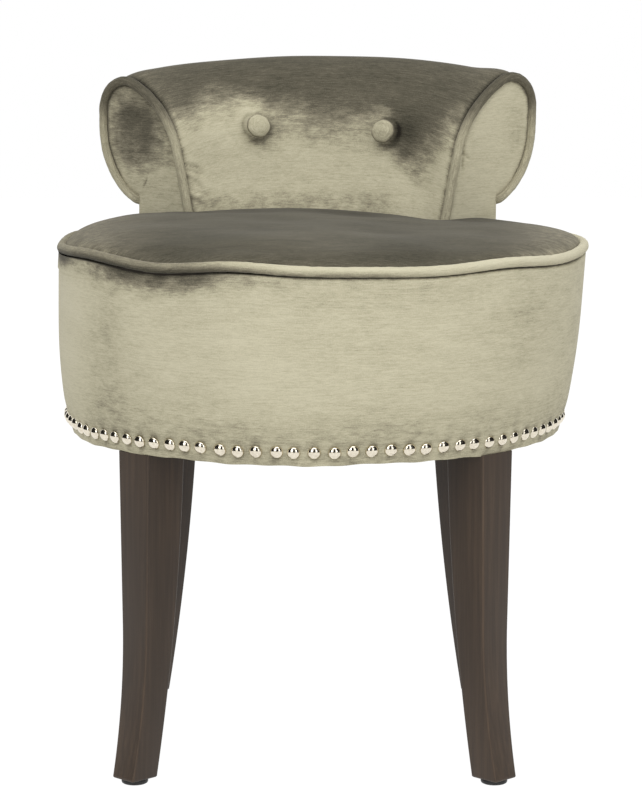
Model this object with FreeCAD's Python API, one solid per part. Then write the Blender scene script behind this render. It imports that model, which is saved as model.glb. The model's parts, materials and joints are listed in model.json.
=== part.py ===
import FreeCAD, Part
import math
import os

# Vanity stool: a round upholstered seat drum on four sabre legs, with a low scroll back that
# follows the rear of the seat. Millimetres, +Z up, the sitter faces -Y. Everything is drawn
# round the seat's upright axis, and at the end it moves along Y so that the origin lies on the
# floor under the middle of the whole stool.

V = FreeCAD.Vector
UP = V(0, 0, 1)
ACROSS = V(0, 1, 0)
CENTRE = V(0, 0, 0)

# Seat frame
frame_radius = 221.0            # drives every other distance from the seat axis
base_ring_thickness = 20.0
base_ring_width = 71.0
upright_count = 8
upright_height = 110.0
upright_depth = 34.0
upright_width = 30.0
upright_setback = 1.0           # from the frame's edge to an upright's outer face
deck_thickness = 18.0
band_thickness = 2.5
dust_cover_thickness = 0.8
dust_cover_setback = 5.0
hem_turn_under = 10.0           # the side pad's edge, folded in under the base ring

# Legs and glides
leg_count = 4
leg_azimuth = 45.0              # of the first leg
leg_height = 295.0
leg_stand_out = 6.5             # of the leg's outer face, near its top, beyond the frame's edge
leg_depth_top = 44.0            # towards the seat axis
leg_depth_foot = 30.0
leg_width_top = 39.4            # across that direction
leg_width_foot = 28.0
leg_kick = 15.5                 # how far the foot's outer face sweeps out
leg_kick_height = 140.0         # from the foot's end to where the sweep begins
leg_inner_hollow = 6.0          # how far the inner face bends away from its chord
leg_edge_chamfer = 1.6
glide_radius = 12.0
glide_thickness = 5.0
glide_edge = 1.5

# Leg fixings
hanger_bolt_radius = 4.0
hanger_bolt_in_leg = 45.0
leg_nut_width = 13.0            # across its flats
leg_nut_height = 6.5
hole_clearance = 0.1

# Seat upholstery
cover_thickness = 1.5
hem_padding = 1.0               # wadding between the band and the cover at the hem
hem_lean = 18.0                 # degrees from upright
waist_lean = 6.0
waist_height = 42.0             # from the hem to where the fuller lower curve ends
welt_stand_out = 20.0           # of the seat piping's centre line, beyond the frame's edge
piping_radius = 4.6
side_overhang = 2.0             # of the side pad, outside the piping's centre line
cushion_edge_height = 20.0      # from the deck to the piping's centre line
crown_rise = 25.2               # from the piping's centre line to the top of the seat
dome_radius = 5900.0            # of the almost flat top
shoulder_radius = 21.5
shoulder_steepness = 80.0       # degrees from level where the shoulder meets the piping
shoulder_tuck = 1.0             # the shoulder's foot reaches this far over the piping
soft_gap = 0.3                  # between the seat and the back
layer_gap = 0.1                 # between layers that lie against each other

# Flat facets of the soft forms
facet_depth = 0.5               # how far a facet may lie inside its curve
round_sides = 64
piping_sides = 8
button_sides = 16
section_count = 13              # of the back, from one end to the other

# Nailheads
nail_count = 86
nail_head_radius = 5.4
nail_head_height = 3.0
nail_crown_radius = 2.8
nail_rise = 11.5                # along the side pad, from the hem to a nail's centre
nail_sides = 6

# Back, drawn as its upright section in a plane through the seat axis
back_half_angle = 48.0          # from the rear to each end panel
back_stand_out = 14.5           # of the outside pad's face, beyond the frame's edge
back_depth = 77.8               # from there to the inside face, on the deck beside an end panel
back_lean = 14.0                # degrees from upright
back_face_length = 94.8         # straight leaning part of the inside face
scoop_radius = 100.0            # the inside face's curve into the roll
scoop_end_lean = 70.0
roll_top_radius = 32.0
roll_drop = 15.0                # straight outermost part of the roll
roll_under_radius = 78.0
back_crown = 20.0               # how much higher the roll is at the rear than at its ends
back_crown_power = 3.0          # a higher power keeps the top flatter in the middle

# Back frame
post_thickness = 18.0
post_padding = 8.0              # over the end post's edges
end_pillow = 1.2                # how far an end panel's face is domed
end_pillow_margin = 10.0
liner_depth = 39.0              # from the outside pad's face to the liner's front
liner_thickness = 3.0
lower_rail_thickness = 20.0
roll_rail_thickness = 20.0
roll_rail_height = 96.0         # from the deck to the roll rail's underside
roll_rail_stand_out = 26.5      # beyond the outside pad's face
outer_board_thickness = 2.5
outer_pad_thickness = 8.0
end_piping_radius = 4.4
end_piping_proud = 2.7          # how far the end piping stands outside the pads
end_piping_bend = 6.0           # its bend where the roll meets the outside pad
end_piping_foot_gap = 1.0       # above the seat piping

# Buttons
button_angle = 20.5             # from the rear
button_height = 117.0           # above the deck
button_radius = 11.8
button_rim = 1.6
button_rise = 4.6
button_sink = 5.2               # the button's back below the inside face
tuft_floor_clearance = 0.4      # round the button
tuft_radius = 25.0
tuft_flare = 1.5                # how far the tuft's edge stands above the face at its middle

# Levels
leg_top = glide_thickness + leg_height
hem_level = leg_top + dust_cover_thickness
ring_bottom = hem_level + cover_thickness
ring_top = ring_bottom + base_ring_thickness
deck_bottom = ring_top + upright_height
deck_top = deck_bottom + deck_thickness
welt_level = deck_top + cushion_edge_height
crown_level = welt_level + crown_rise
roll_rail_bottom = deck_top + roll_rail_height
roll_rail_top = roll_rail_bottom + roll_rail_thickness

# Distances from the seat axis
base_ring_hole_radius = frame_radius - base_ring_width
leg_outer_radius = frame_radius + leg_stand_out
welt_ring_radius = frame_radius + welt_stand_out
outside_radius = frame_radius + back_stand_out
back_base_radius = outside_radius - back_depth
liner_radius = outside_radius - liner_depth
roll_rail_radius = outside_radius + roll_rail_stand_out
band_radius = frame_radius + band_thickness
hem_radius = band_radius + hem_padding + cover_thickness
side_top_radius = welt_ring_radius + side_overhang
cushion_edge_radius = welt_ring_radius - piping_radius + shoulder_tuck
outer_board_radius = outside_radius - outer_pad_thickness
liner_back_radius = liner_radius + liner_thickness
lower_rail_outer_radius = outer_board_radius - outer_board_thickness
leg_centre_radius = leg_outer_radius - leg_depth_top / 2
foot_outer_radius = leg_outer_radius + leg_kick
foot_centre_radius = foot_outer_radius - leg_depth_foot / 2

# Depths into the back, measured from the plane of an end panel's face
piping_depth = end_piping_radius - end_piping_proud
post_face_depth = piping_depth + end_piping_radius + layer_gap
post_back_depth = post_face_depth + post_thickness


# Angles in degrees
full_turn = 360.0
half_turn = 180.0


def sin(angle):
    return math.sin(math.radians(angle))


def cos(angle):
    return math.cos(math.radians(angle))


def tan(angle):
    return math.tan(math.radians(angle))


def heading(lean):
    """The unit vector along a path that leans this many degrees outwards from upright."""
    return V(sin(lean), 0, cos(lean))


def side_of(lean):
    """The unit vector square to such a path, on its right."""
    return V(cos(lean), 0, -sin(lean))


def straight(start, end):
    return Part.LineSegment(start, end).toShape()


def curved(start, middle, end):
    return Part.Arc(start, middle, end).toShape()


class Outline:
    """A path of lines and tangent arcs in the plane through the seat axis, where x is the radius.

    It turns clockwise, so its inside is on its right. An inset moves the whole path to the
    inside: lines shift, and arcs keep their centres. A lean is measured outwards from upright.
    An arc is drawn as equal chords, as few as keep within the facet depth."""

    def __init__(self, radius, height, lean, inset=0.0):
        self.inset = inset
        self.lean = lean
        self.point = V(radius, 0, height) + side_of(lean) * inset
        self.stations = []
        self.mark()

    def mark(self):
        self.stations.append((self.point, self.lean))
        return self

    def start_higher(self, length):
        """Moves a new path's start along its heading."""
        self.point += heading(self.lean) * length
        self.stations.clear()
        return self.mark()

    def line(self, length):
        return self.line_to(self.point + heading(self.lean) * length)

    def line_to(self, end):
        self.point = end
        return self.mark()

    def down_to(self, height):
        return self.line_to(V(self.point.x, 0, height))

    def out_to(self, radius):
        return self.line_to(V(radius, 0, self.point.z))

    def arc(self, radius, turn):
        """A tangent arc to the right. A negative radius and turn bend it to the left."""
        facet_turn = 2 * math.degrees(math.acos(1 - facet_depth / abs(radius)))
        count = math.ceil(abs(turn) / facet_turn)
        reach = radius - self.inset
        centre = self.point + side_of(self.lean) * reach
        for _ in range(count):
            self.lean += turn / count
            self.line_to(centre - side_of(self.lean) * reach)
        return self

    def arc_to_radius(self, radius, stop):
        """A tangent arc down from the outermost point, inwards to a distance from the axis."""
        reach = radius - self.inset
        centre_radius = self.point.x - reach
        return self.arc(radius, math.degrees(math.acos((stop - centre_radius) / reach)))

    def points(self):
        return [point for point, lean in self.stations]


def closed(points):
    """A closed wire of straight edges."""
    return Part.makePolygon(points + points[:1])


def rectangle(inner, outer, bottom, top):
    return closed([V(inner, 0, bottom), V(outer, 0, bottom), V(outer, 0, top), V(inner, 0, top)])


def ring_of_corners(radius, sides, height=0.0):
    """The corners of a level regular polygon round the Z axis."""
    steps = [index * full_turn / sides for index in range(sides)]
    return [V(radius * cos(step), radius * sin(step), height) for step in steps]


def faceted(points, sides=round_sides):
    """The solid that a closed outline sweeps round the Z axis, in flat facets. An edge that
    starts or ends on the axis makes triangles."""
    rings = [ring_of_corners(point.x, sides, point.z) for point in points]
    faces = []
    for ring, after in zip(rings, rings[1:] + rings[:1]):
        for side in range(sides):
            following = (side + 1) % sides
            corners = [ring[side], ring[following], after[following], after[side]]
            distinct = [
                corner
                for corner, previous in zip(corners, corners[-1:] + corners[:-1])
                if (corner - previous).Length > layer_gap / 2
            ]
            if len(distinct) > 2:
                faces.append(Part.Face(closed(distinct)))
    solid = Part.Solid(Part.Shell(faces)).removeSplitter()
    if solid.Volume < 0:
        solid.reverse()
    return solid


def turned(wire, angle=full_turn):
    """The solid that a closed wire sweeps round the seat axis."""
    return Part.Face(wire).revolve(CENTRE, UP, angle)


def disc(radius, bottom, top, distance=0.0):
    """An upright cylinder between two levels, this far from the seat axis along X."""
    return Part.makeCylinder(radius, top - bottom, V(distance, 0, bottom))


def at_azimuth(shape, angle):
    """Turns a shape drawn in the plane y = 0 to an angle from the rear, towards +X."""
    placed = shape.copy()
    placed.rotate(CENTRE, UP, 90.0 - angle)
    return placed


def round_the_seat(shape, count, first=0.0):
    """Copies of a shape at equal steps round the seat axis."""
    copies = []
    for index in range(count):
        copy = shape.copy()
        copy.rotate(CENTRE, UP, first + index * full_turn / count)
        copies.append(copy)
    return copies


def mirrored(shape):
    """The matching piece on the other side of the stool."""
    return shape.mirror(CENTRE, V(1, 0, 0))


def both(shape):
    return [shape, mirrored(shape)]


def fused(shapes):
    return shapes[0].fuse(shapes[1:]).removeSplitter()


# Legs


def leg():
    """A sabre leg on +X: its side profile, crossed with the taper of its front view."""
    top_inner = leg_outer_radius - leg_depth_top
    foot_inner = foot_outer_radius - leg_depth_foot
    sweep_radius = (leg_kick**2 + leg_kick_height**2) / (2 * leg_kick)
    sweep_half_turn = math.degrees(math.asin(leg_kick_height / sweep_radius)) / 2
    sweep_start = V(leg_outer_radius, 0, glide_thickness + leg_kick_height)
    sweep_middle = sweep_start + V(
        sweep_radius * (1 - cos(sweep_half_turn)), 0, -sweep_radius * sin(sweep_half_turn)
    )
    middle_inner = V(
        (top_inner + foot_inner) / 2 - leg_inner_hollow, 0, glide_thickness + leg_height / 2
    )
    top_front = V(leg_outer_radius, 0, leg_top)
    top_back = V(top_inner, 0, leg_top)
    toe = V(foot_outer_radius, 0, glide_thickness)
    heel = V(foot_inner, 0, glide_thickness)
    side = Part.Wire(
        [
            straight(top_front, sweep_start),
            curved(sweep_start, sweep_middle, toe),
            straight(toe, heel),
            curved(heel, middle_inner, top_back),
            straight(top_back, top_front),
        ]
    )
    board = Part.Face(side).extrude(ACROSS * leg_width_top * 2)
    board.translate(-ACROSS * leg_width_top)
    return board.common(leg_taper()).removeSplitter()


def leg_taper():
    """The leg's front view, as a long prism along +X."""
    top, foot = leg_width_top / 2, leg_width_foot / 2
    corners = [
        V(0, -top, leg_top),
        V(0, top, leg_top),
        V(0, foot, glide_thickness),
        V(0, -foot, glide_thickness),
    ]
    front = Part.makePolygon(corners + corners[:1])
    return Part.Face(front).extrude(V(foot_outer_radius * 2, 0, 0))


def eased(solid):
    """The leg with its four long corners and the edges of its foot chamfered."""
    corners = []
    for edge in solid.Edges:
        low, high = sorted(vertex.Z for vertex in edge.Vertexes)
        if high - low > leg_edge_chamfer or high < glide_thickness + leg_edge_chamfer:
            corners.append(edge)
    return solid.makeChamfer(leg_edge_chamfer, corners)


def bored_leg():
    """The leg with the hole for its hanger bolt."""
    length = hanger_bolt_in_leg + hole_clearance
    radius = hanger_bolt_radius + hole_clearance
    return eased(leg()).cut(disc(radius, leg_top - length, leg_top, leg_centre_radius))


def glide():
    """A round pad under a foot, with a bevelled edge."""
    edge = glide_radius - glide_edge
    bevel = Part.makeCone(edge, glide_radius, glide_edge, V(foot_centre_radius, 0, 0))
    pad = disc(glide_radius, glide_edge, glide_thickness, foot_centre_radius)
    return fused([bevel, pad])


def hanger_bolt():
    """The bolt that holds a leg, with its hexagon nut on the base ring."""
    nut_top = ring_top + leg_nut_height
    bolt = disc(hanger_bolt_radius, leg_top - hanger_bolt_in_leg, nut_top)
    corners = ring_of_corners(leg_nut_width / 2 / cos(30.0), 6, ring_top)
    nut = Part.Face(closed(corners)).extrude(UP * leg_nut_height)
    fixing = fused([bolt, nut])
    fixing.translate(V(leg_centre_radius, 0, 0))
    return fixing


def leg_bolt_holes(bottom, top):
    """Clearance holes between two levels for every leg's bolt."""
    hole = disc(hanger_bolt_radius + hole_clearance, bottom, top, leg_centre_radius)
    return round_the_seat(hole, leg_count, leg_azimuth)


# Seat frame


def base_ring():
    hole = disc(base_ring_hole_radius, ring_bottom, ring_top)
    ring = disc(frame_radius, ring_bottom, ring_top)
    return ring.cut([hole] + leg_bolt_holes(ring_bottom, ring_top))


def uprights():
    """Blocks between the base ring and the deck, half a step round from the legs."""
    inner = frame_radius - upright_setback - upright_depth
    block = Part.makeBox(
        upright_depth, upright_width, upright_height, V(inner, -upright_width / 2, ring_top)
    )
    return round_the_seat(block, upright_count, leg_azimuth + full_turn / upright_count / 2)


def deck():
    return disc(frame_radius, deck_bottom, deck_top)


def band():
    """A bent board round the base ring, the uprights and the deck."""
    section = Outline(frame_radius, ring_bottom, 0.0).down_to(deck_top)
    return faceted(section.out_to(band_radius).down_to(ring_bottom).points())


def dust_cover():
    edge = frame_radius - dust_cover_setback
    outline = Outline(0.0, hem_level, 90.0).out_to(edge).down_to(leg_top).out_to(0.0)
    return faceted(outline.points()).cut(leg_bolt_holes(leg_top, hem_level))


# Seat upholstery


def lower_side_radius():
    return waist_height / (sin(hem_lean) - sin(waist_lean))


def side_face():
    """The seat's side, up from the hem: a full lower curve, then a longer one that leaves it on
    the same line and ends at the piping. Both bend inwards as they rise."""
    face = Outline(hem_radius, hem_level, hem_lean)
    face.arc(-lower_side_radius(), waist_lean - hem_lean)
    chord = V(side_top_radius, 0, welt_level) - face.point
    turn = (waist_lean - math.degrees(math.atan2(chord.x, chord.z))) * 2
    return face.arc(-chord.Length / (2 * sin(turn / 2)), -turn)


def piping_ring(radius):
    """The corners of a piping's section, drawn round the origin in the plane of an outline."""
    return [V(corner.x, 0, corner.y) for corner in ring_of_corners(radius, piping_sides)]


def seat_piping():
    """The welt between the seat's top and its side."""
    middle = V(welt_ring_radius, 0, welt_level)
    return faceted([middle + corner for corner in piping_ring(piping_radius)])


def seat_side_pad():
    """The padded side, carried past the deck's edge up to the piping, and folded in under the
    base ring at the hem."""
    face = side_face().out_to(cushion_edge_radius + layer_gap)
    face.down_to(deck_top).out_to(band_radius).down_to(ring_bottom)
    face.out_to(frame_radius - hem_turn_under).down_to(hem_level)
    return faceted(face.points()).cut(seat_piping())


def crown_face():
    """The seat's top from the axis outwards: an almost flat dome, then a steep shoulder."""
    slope = math.degrees(
        math.asin(
            (cushion_edge_radius - shoulder_radius * sin(shoulder_steepness))
            / (dome_radius - shoulder_radius)
        )
    )
    face = Outline(0.0, crown_level, 90.0).arc(dome_radius, slope)
    return face.arc(shoulder_radius, shoulder_steepness - slope)


def back_space():
    """What the back takes out of the seat: all behind its inside face, out to its end piping."""
    top = crown_level + cushion_edge_height
    bottom = deck_top - cushion_edge_height
    outer = side_top_radius + cushion_edge_height
    sections = []
    for angle in section_angles(back_half_angle * 1.1):
        face = face_start(crown_at(angle), -soft_gap).point
        below = V(face.x + (bottom - face.z) * tan(back_lean), 0, bottom)
        above = V(face.x + (top - face.z) * tan(back_lean), 0, top)
        wire = closed([below, above, V(outer, 0, top), V(outer, 0, bottom)])
        sections.append(at_azimuth(wire, angle))
    room = Part.makeLoft(sections, True, True)
    room = room.cut(end_cutters(-end_piping_proud - soft_gap))
    foot_of_piping = face_start(0.0, piping_depth).point + ACROSS * piping_depth
    groove = Part.makeCylinder(
        end_piping_radius + soft_gap,
        (top - bottom) / cos(back_lean),
        foot_of_piping - heading(back_lean) * (deck_top - bottom) / cos(back_lean),
        heading(back_lean),
    )
    return [room] + both(at_azimuth(groove, back_half_angle))


def seat_cushion():
    """The crowned cushion on the deck, notched for the back."""
    face = crown_face().down_to(deck_top).out_to(0.0)
    return faceted(face.points()).cut(back_space() + [seat_piping()])


def nailhead():
    """A domed head on the side pad, at +X, square to its face."""
    lean = hem_lean - math.degrees(nail_rise / lower_side_radius())
    face = Outline(hem_radius, hem_level, hem_lean).arc(-lower_side_radius(), lean - hem_lean)
    outline = [
        CENTRE,
        V(nail_head_radius, 0, 0),
        V(nail_crown_radius, 0, nail_head_height),
        UP * nail_head_height,
    ]
    head = faceted(outline, nail_sides)
    head.rotate(CENTRE, ACROSS, 90.0 + lean)
    head.translate(face.point)
    return head


# Back


def section_angles(reach):
    """Azimuths of the back's sections, evenly spread to this far each side of the rear."""
    step = reach * 2 / (section_count - 1)
    return [step * index - reach for index in range(section_count)]


def crown_at(angle):
    """How much the roll is raised at an azimuth."""
    return back_crown * max(0.0, 1 - (abs(angle) / back_half_angle) ** back_crown_power)


def face_start(rise, inset):
    """The foot of the inside face, on the deck. It moves in as the roll rises, so that the face
    keeps both its lean and its curves."""
    face = Outline(back_base_radius - rise * tan(back_lean), deck_top, back_lean, inset)
    return face.start_higher(inset * tan(back_lean))


def face_length(rise, inset):
    """The straight part of the inside face, up from the deck."""
    return back_face_length + rise / cos(back_lean) - inset * tan(back_lean)


def over_the_roll(rise, inset):
    """The inside face, the scoop and the roll down to its outermost point's end."""
    path = face_start(rise, inset).line(face_length(rise, inset))
    path.arc(scoop_radius, scoop_end_lean - back_lean)
    return path.arc(roll_top_radius, half_turn - scoop_end_lean).line(roll_drop)


def roll_underside(rise, radius):
    """The level of the cover under the roll, at a distance from the axis."""
    lowest = over_the_roll(rise, 0.0).point
    from_centre = radius - (lowest.x - roll_under_radius)
    return lowest.z - math.sqrt(roll_under_radius**2 - from_centre**2)


def lofted(section, *sizes):
    """A solid through one closed section at each azimuth; section takes the roll's rise."""
    wires = [
        at_azimuth(section(crown_at(angle), *sizes), angle)
        for angle in section_angles(back_half_angle)
    ]
    return Part.makeLoft(wires, True, True)


def end_cutter(depth):
    """A block over the right-hand end of the back, down to this depth from its end panel."""
    reach = (roll_rail_radius + roll_under_radius) * 2
    block = Part.makeBox(reach, reach + depth, reach * 2, V(0, -reach, deck_top - reach))
    return at_azimuth(block, back_half_angle)


def end_cutters(depth):
    return both(end_cutter(depth))


def filled_section(rise, inset, wall):
    """The whole section of the back inside a wall radius, less an inset."""
    path = over_the_roll(rise, inset).arc_to_radius(roll_under_radius, wall)
    return closed(path.down_to(deck_top).points())


def clear_of(radius):
    """Where a section's corner lies, so that the facet between two sections clears a round
    frame piece of this radius."""
    return radius / cos(back_half_angle / (section_count - 1)) + layer_gap


def inside_section(rise):
    """The padding in front of the liner and round the roll rail."""
    path = over_the_roll(rise, 0.0)
    path.arc_to_radius(roll_under_radius, clear_of(outer_board_radius))
    path.down_to(roll_rail_bottom - layer_gap).out_to(clear_of(roll_rail_radius))
    path.down_to(roll_rail_top + layer_gap).out_to(liner_radius - layer_gap)
    return closed(path.down_to(deck_top).points())


def outside_section(rise):
    """The layer on the outside of the back, from the deck up to the roll's underside."""
    inner, outer = clear_of(outer_board_radius), outside_radius
    inner_top, outer_top = [roll_underside(rise, radius) - layer_gap for radius in (inner, outer)]
    bottom_edge = [V(inner, 0, deck_top), V(outer, 0, deck_top)]
    return closed(bottom_edge + [V(outer, 0, outer_top), V(inner, 0, inner_top)])


def back_ring(inner, outer, bottom, top):
    """A level frame piece that follows the back between its end posts."""
    reach = back_half_angle * 2
    ring = turned(rectangle(inner, outer, bottom, top), reach)
    return at_azimuth(ring, back_half_angle).cut(end_cutters(post_back_depth))


def end_slab(inset, wall, from_depth, to_depth):
    """A flat piece of the back's end section, between two depths from the right end panel."""
    wire = filled_section(0.0, inset, wall)
    wire.translate(ACROSS * to_depth)
    slab = Part.Face(wire).extrude(ACROSS * (from_depth - to_depth))
    return at_azimuth(slab, back_half_angle)


def end_post(gap=0.0):
    """The scroll-shaped board at the right end of the back."""
    inset = post_padding - gap
    return end_slab(inset, outer_board_radius, post_back_depth + gap, post_face_depth)


def end_panel():
    """The end's padding, inside its piping: a slab with a bevelled face that swells towards its
    middle."""
    edge = filled_section(0.0, post_face_depth, outside_radius - post_face_depth)
    face = edge.makeOffset2D(-end_pillow_margin, 2)
    outlines = [
        edge.translated(ACROSS * post_face_depth),
        edge.translated(ACROSS * end_pillow),
        face,
    ]
    return at_azimuth(Part.makeLoft(outlines, True, True), back_half_angle)


def end_piping():
    """The right end's piping, up the inside face, over the roll and down to the seat piping."""
    skirt = end_piping_radius * tan(back_lean) + soft_gap
    path = face_start(0.0, piping_depth).start_higher(skirt)
    path.line(face_length(0.0, piping_depth) - skirt).arc(scoop_radius, scoop_end_lean - back_lean)
    path.arc(roll_top_radius, half_turn - scoop_end_lean).line(roll_drop)
    reach = roll_under_radius - piping_depth
    bend_centre_radius = outside_radius - piping_depth + end_piping_bend
    turn = math.degrees(
        math.acos((bend_centre_radius - path.point.x + reach) / (reach + end_piping_bend))
    )
    path.arc(roll_under_radius, turn).arc(piping_depth - end_piping_bend, -turn)
    path.down_to(welt_level + piping_radius + end_piping_foot_gap)
    rings = []
    for point, lean in path.stations:
        ring = closed(ring_of_corners(end_piping_radius, piping_sides))
        ring.rotate(CENTRE, ACROSS, lean)
        ring.translate(point + ACROSS * piping_depth)
        rings.append(ring)
    return at_azimuth(Part.makeLoft(rings, True, True), back_half_angle)


# Buttons


def button_seat():
    """Where a button sits on the inside face, and the face's lean there."""
    path = face_start(crown_at(button_angle), 0.0)
    foot = path.point
    path.line(face_length(crown_at(button_angle), 0.0))
    centre = path.point + side_of(back_lean) * scoop_radius
    height = deck_top + button_height
    if height < path.point.z:
        return V(foot.x + button_height * tan(back_lean), 0, height), back_lean
    lean = math.degrees(math.asin((height - centre.z) / scoop_radius))
    return centre - side_of(lean) * scoop_radius, lean


def at_button(shape):
    """Places a shape drawn on the Z axis on the right button's axis."""
    seat, lean = button_seat()
    placed = shape.copy()
    placed.rotate(CENTRE, ACROSS, lean - 90.0)
    placed.translate(seat)
    return at_azimuth(placed, button_angle)


def tuft_room():
    """The dimple round a button: a floor, then a wall that flares out to the face."""
    floor_radius = button_radius + tuft_floor_clearance
    outline = [
        UP * -button_sink,
        V(floor_radius, 0, -button_sink),
        V((floor_radius * 2 + tuft_radius) / 3, 0, (tuft_flare * 2 - button_sink) / 3),
        V(tuft_radius, 0, tuft_flare),
        UP * tuft_flare,
    ]
    return at_button(faceted(outline, button_sides))


def button():
    """A covered button: a short rim under a domed top."""
    reach = (button_radius**2 + button_rise**2) / (2 * button_rise)
    dome = Outline(0.0, button_rim + button_rise - button_sink, 90.0)
    dome.arc(reach, math.degrees(math.asin(button_radius / reach)))
    return at_button(faceted(dome.down_to(-button_sink).out_to(0.0).points(), button_sides))


# Back upholstery


def inside_back():
    """The padded inside face and the roll, tucked in under the roll to the outer board, and
    pulled in at the two buttons."""
    room = both(tuft_room()) + both(end_post(layer_gap))
    return lofted(inside_section).cut(room + end_cutters(post_face_depth))


def outside_back():
    return lofted(outside_section).cut(end_cutters(post_face_depth))


def back_liner():
    return back_ring(liner_radius, liner_back_radius, deck_top, roll_rail_top)


def lower_rail():
    top = deck_top + lower_rail_thickness
    return back_ring(liner_back_radius, lower_rail_outer_radius, deck_top, top)


def roll_rail():
    return back_ring(liner_back_radius, roll_rail_radius, roll_rail_bottom, roll_rail_top)


def outer_board():
    return back_ring(lower_rail_outer_radius, outer_board_radius, deck_top, roll_rail_bottom)


def solids_in(shapes):
    """Every solid in a list of shapes, joined in one group without being fused."""
    return Part.makeCompound([solid for shape in shapes for solid in shape.Solids])


def nodes():
    """Each sub-part's name and its solids."""
    legs = round_the_seat(bored_leg(), leg_count, leg_azimuth)
    leg_names = ["leg_rear_right", "leg_rear_left", "leg_front_left", "leg_front_right"]
    parts = {name: [shape] for name, shape in zip(leg_names, legs)}
    parts["glides"] = round_the_seat(glide(), leg_count, leg_azimuth)
    parts["hanger_bolts"] = round_the_seat(hanger_bolt(), leg_count, leg_azimuth)
    parts["seat_base_ring"] = [base_ring()]
    parts["seat_uprights"] = uprights()
    parts["seat_deck"] = [deck()]
    parts["seat_band"] = [band()]
    parts["dust_cover"] = [dust_cover()]
    parts["seat_side_pad"] = [seat_side_pad()]
    parts["seat_cushion"] = [seat_cushion()]
    parts["seat_piping"] = [seat_piping()]
    parts["nailheads"] = round_the_seat(nailhead(), nail_count)
    parts["back_liner"] = [back_liner()]
    parts["back_lower_rail"] = [lower_rail()]
    parts["back_roll_rail"] = [roll_rail()]
    parts["back_outer_board"] = [outer_board()]
    parts["inside_back"] = [inside_back()]
    parts["outside_back"] = [outside_back()]
    parts["back_buttons"] = both(button())
    paired = {
        "back_post": end_post,
        "end_panel": end_panel,
        "end_piping": end_piping,
    }
    for name, make in paired.items():
        for side, shape in zip(("right", "left"), both(make())):
            parts[f"{name}_{side}"] = [shape]
    return parts


def write(parts):
    """Moves the parts so that the origin is under the middle of the stool, and writes them."""
    roll_edge = over_the_roll(0.0, 0.0).point.x
    piping_edge = welt_ring_radius + piping_radius
    shift = V(0, (piping_edge - roll_edge) / 2, 0)
    os.makedirs("parts", exist_ok=True)
    for name, shapes in parts.items():
        group = solids_in(shapes)
        group.translate(shift)
        piece = group if len(group.Solids) > 1 else group.Solids[0]
        piece.exportStep(f"parts/{name}.step")
        box = piece.optimalBoundingBox(False, False)
        print(
            f"{name}: {len(piece.Solids)} solids, {piece.Volume / 1000:.1f} cm3, "
            f"x {box.XMin:.1f} {box.XMax:.1f}, y {box.YMin:.1f} {box.YMax:.1f}, "
            f"z {box.ZMin:.1f} {box.ZMax:.1f}"
        )


write(nodes())
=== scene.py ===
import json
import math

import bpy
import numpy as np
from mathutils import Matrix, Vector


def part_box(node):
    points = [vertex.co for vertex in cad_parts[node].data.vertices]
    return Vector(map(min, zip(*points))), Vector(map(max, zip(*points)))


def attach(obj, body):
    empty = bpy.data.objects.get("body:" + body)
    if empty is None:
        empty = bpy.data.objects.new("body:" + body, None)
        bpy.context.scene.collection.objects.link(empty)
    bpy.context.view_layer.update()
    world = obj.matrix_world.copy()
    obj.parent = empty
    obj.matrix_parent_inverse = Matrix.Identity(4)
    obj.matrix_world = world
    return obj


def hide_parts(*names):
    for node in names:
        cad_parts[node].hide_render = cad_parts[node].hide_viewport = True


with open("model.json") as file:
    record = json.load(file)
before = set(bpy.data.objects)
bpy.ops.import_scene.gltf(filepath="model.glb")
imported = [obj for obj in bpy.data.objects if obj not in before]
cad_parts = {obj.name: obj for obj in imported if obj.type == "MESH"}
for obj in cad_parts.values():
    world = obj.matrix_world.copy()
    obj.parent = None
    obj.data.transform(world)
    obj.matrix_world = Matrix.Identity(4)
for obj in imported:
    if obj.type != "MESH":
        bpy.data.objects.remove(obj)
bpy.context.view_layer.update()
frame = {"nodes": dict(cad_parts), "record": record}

# %% [markdown]
# # A low-back vanity stool in crushed velvet
# The CAD frame gives every size: a round padded drum on sabre legs, with a scroll back round its
# rear. Here each upholstered piece is drawn again as it looks under its velvet, by formulas on
# grids of points. Cloth simulation isn't used, because every cover is stretched tight over its
# padding. Lengths are metres, and every surface is first written round the seat's own upright
# axis: a distance from that axis, an angle from the rear of the stool towards +X, and a height.

MM = 0.001

piping_low, piping_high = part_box("seat_piping")
AXIS_Y = (piping_low.y + piping_high.y) / 2
PIPING_R = (piping_high.z - piping_low.z) / 2
WELT_Z = (piping_high.z + piping_low.z) / 2
WELT_R = (piping_high.x - piping_low.x) / 2 - PIPING_R
HEM_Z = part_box("seat_side_pad")[0].z
DECK_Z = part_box("seat_deck")[1].z
RING_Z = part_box("seat_base_ring")[0].z
CROWN_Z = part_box("seat_cushion")[1].z
FRAME_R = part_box("seat_deck")[1].x
BAND_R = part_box("seat_band")[1].x
print("seat axis at y", round(AXIS_Y, 4), "piping ring", round(WELT_R, 4), "at z", round(WELT_Z, 4))

# %% [markdown]
# ## From a grid of points to a closed piece
# All the soft pieces are grids: one direction runs round or along the piece, the other follows
# its section. They could be built face by face in bmesh, but whole arrays are quicker and let a
# formula be read as one. A grid may join either direction into a loop and gets flat caps on open
# ends, so that each piece is a closed shell, and its enclosed volume tells which way is out.

# %% Faces of a grid
def grid_faces(count_u, count_v, loop_u, loop_v):
    """Each cell's corners (i, j), (i+1, j), (i+1, j+1), (i, j+1): as point numbers, and as rows
    and columns that go on counting past a loop's seam, for the UV map."""
    i, j = np.meshgrid(np.arange(count_u - (not loop_u)), np.arange(count_v - (not loop_v)), indexing="ij")
    row = i.reshape(-1, 1) + [0, 1, 1, 0]
    column = j.reshape(-1, 1) + [0, 0, 1, 1]
    return row % count_u * count_v + column % count_v, row, column


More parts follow.
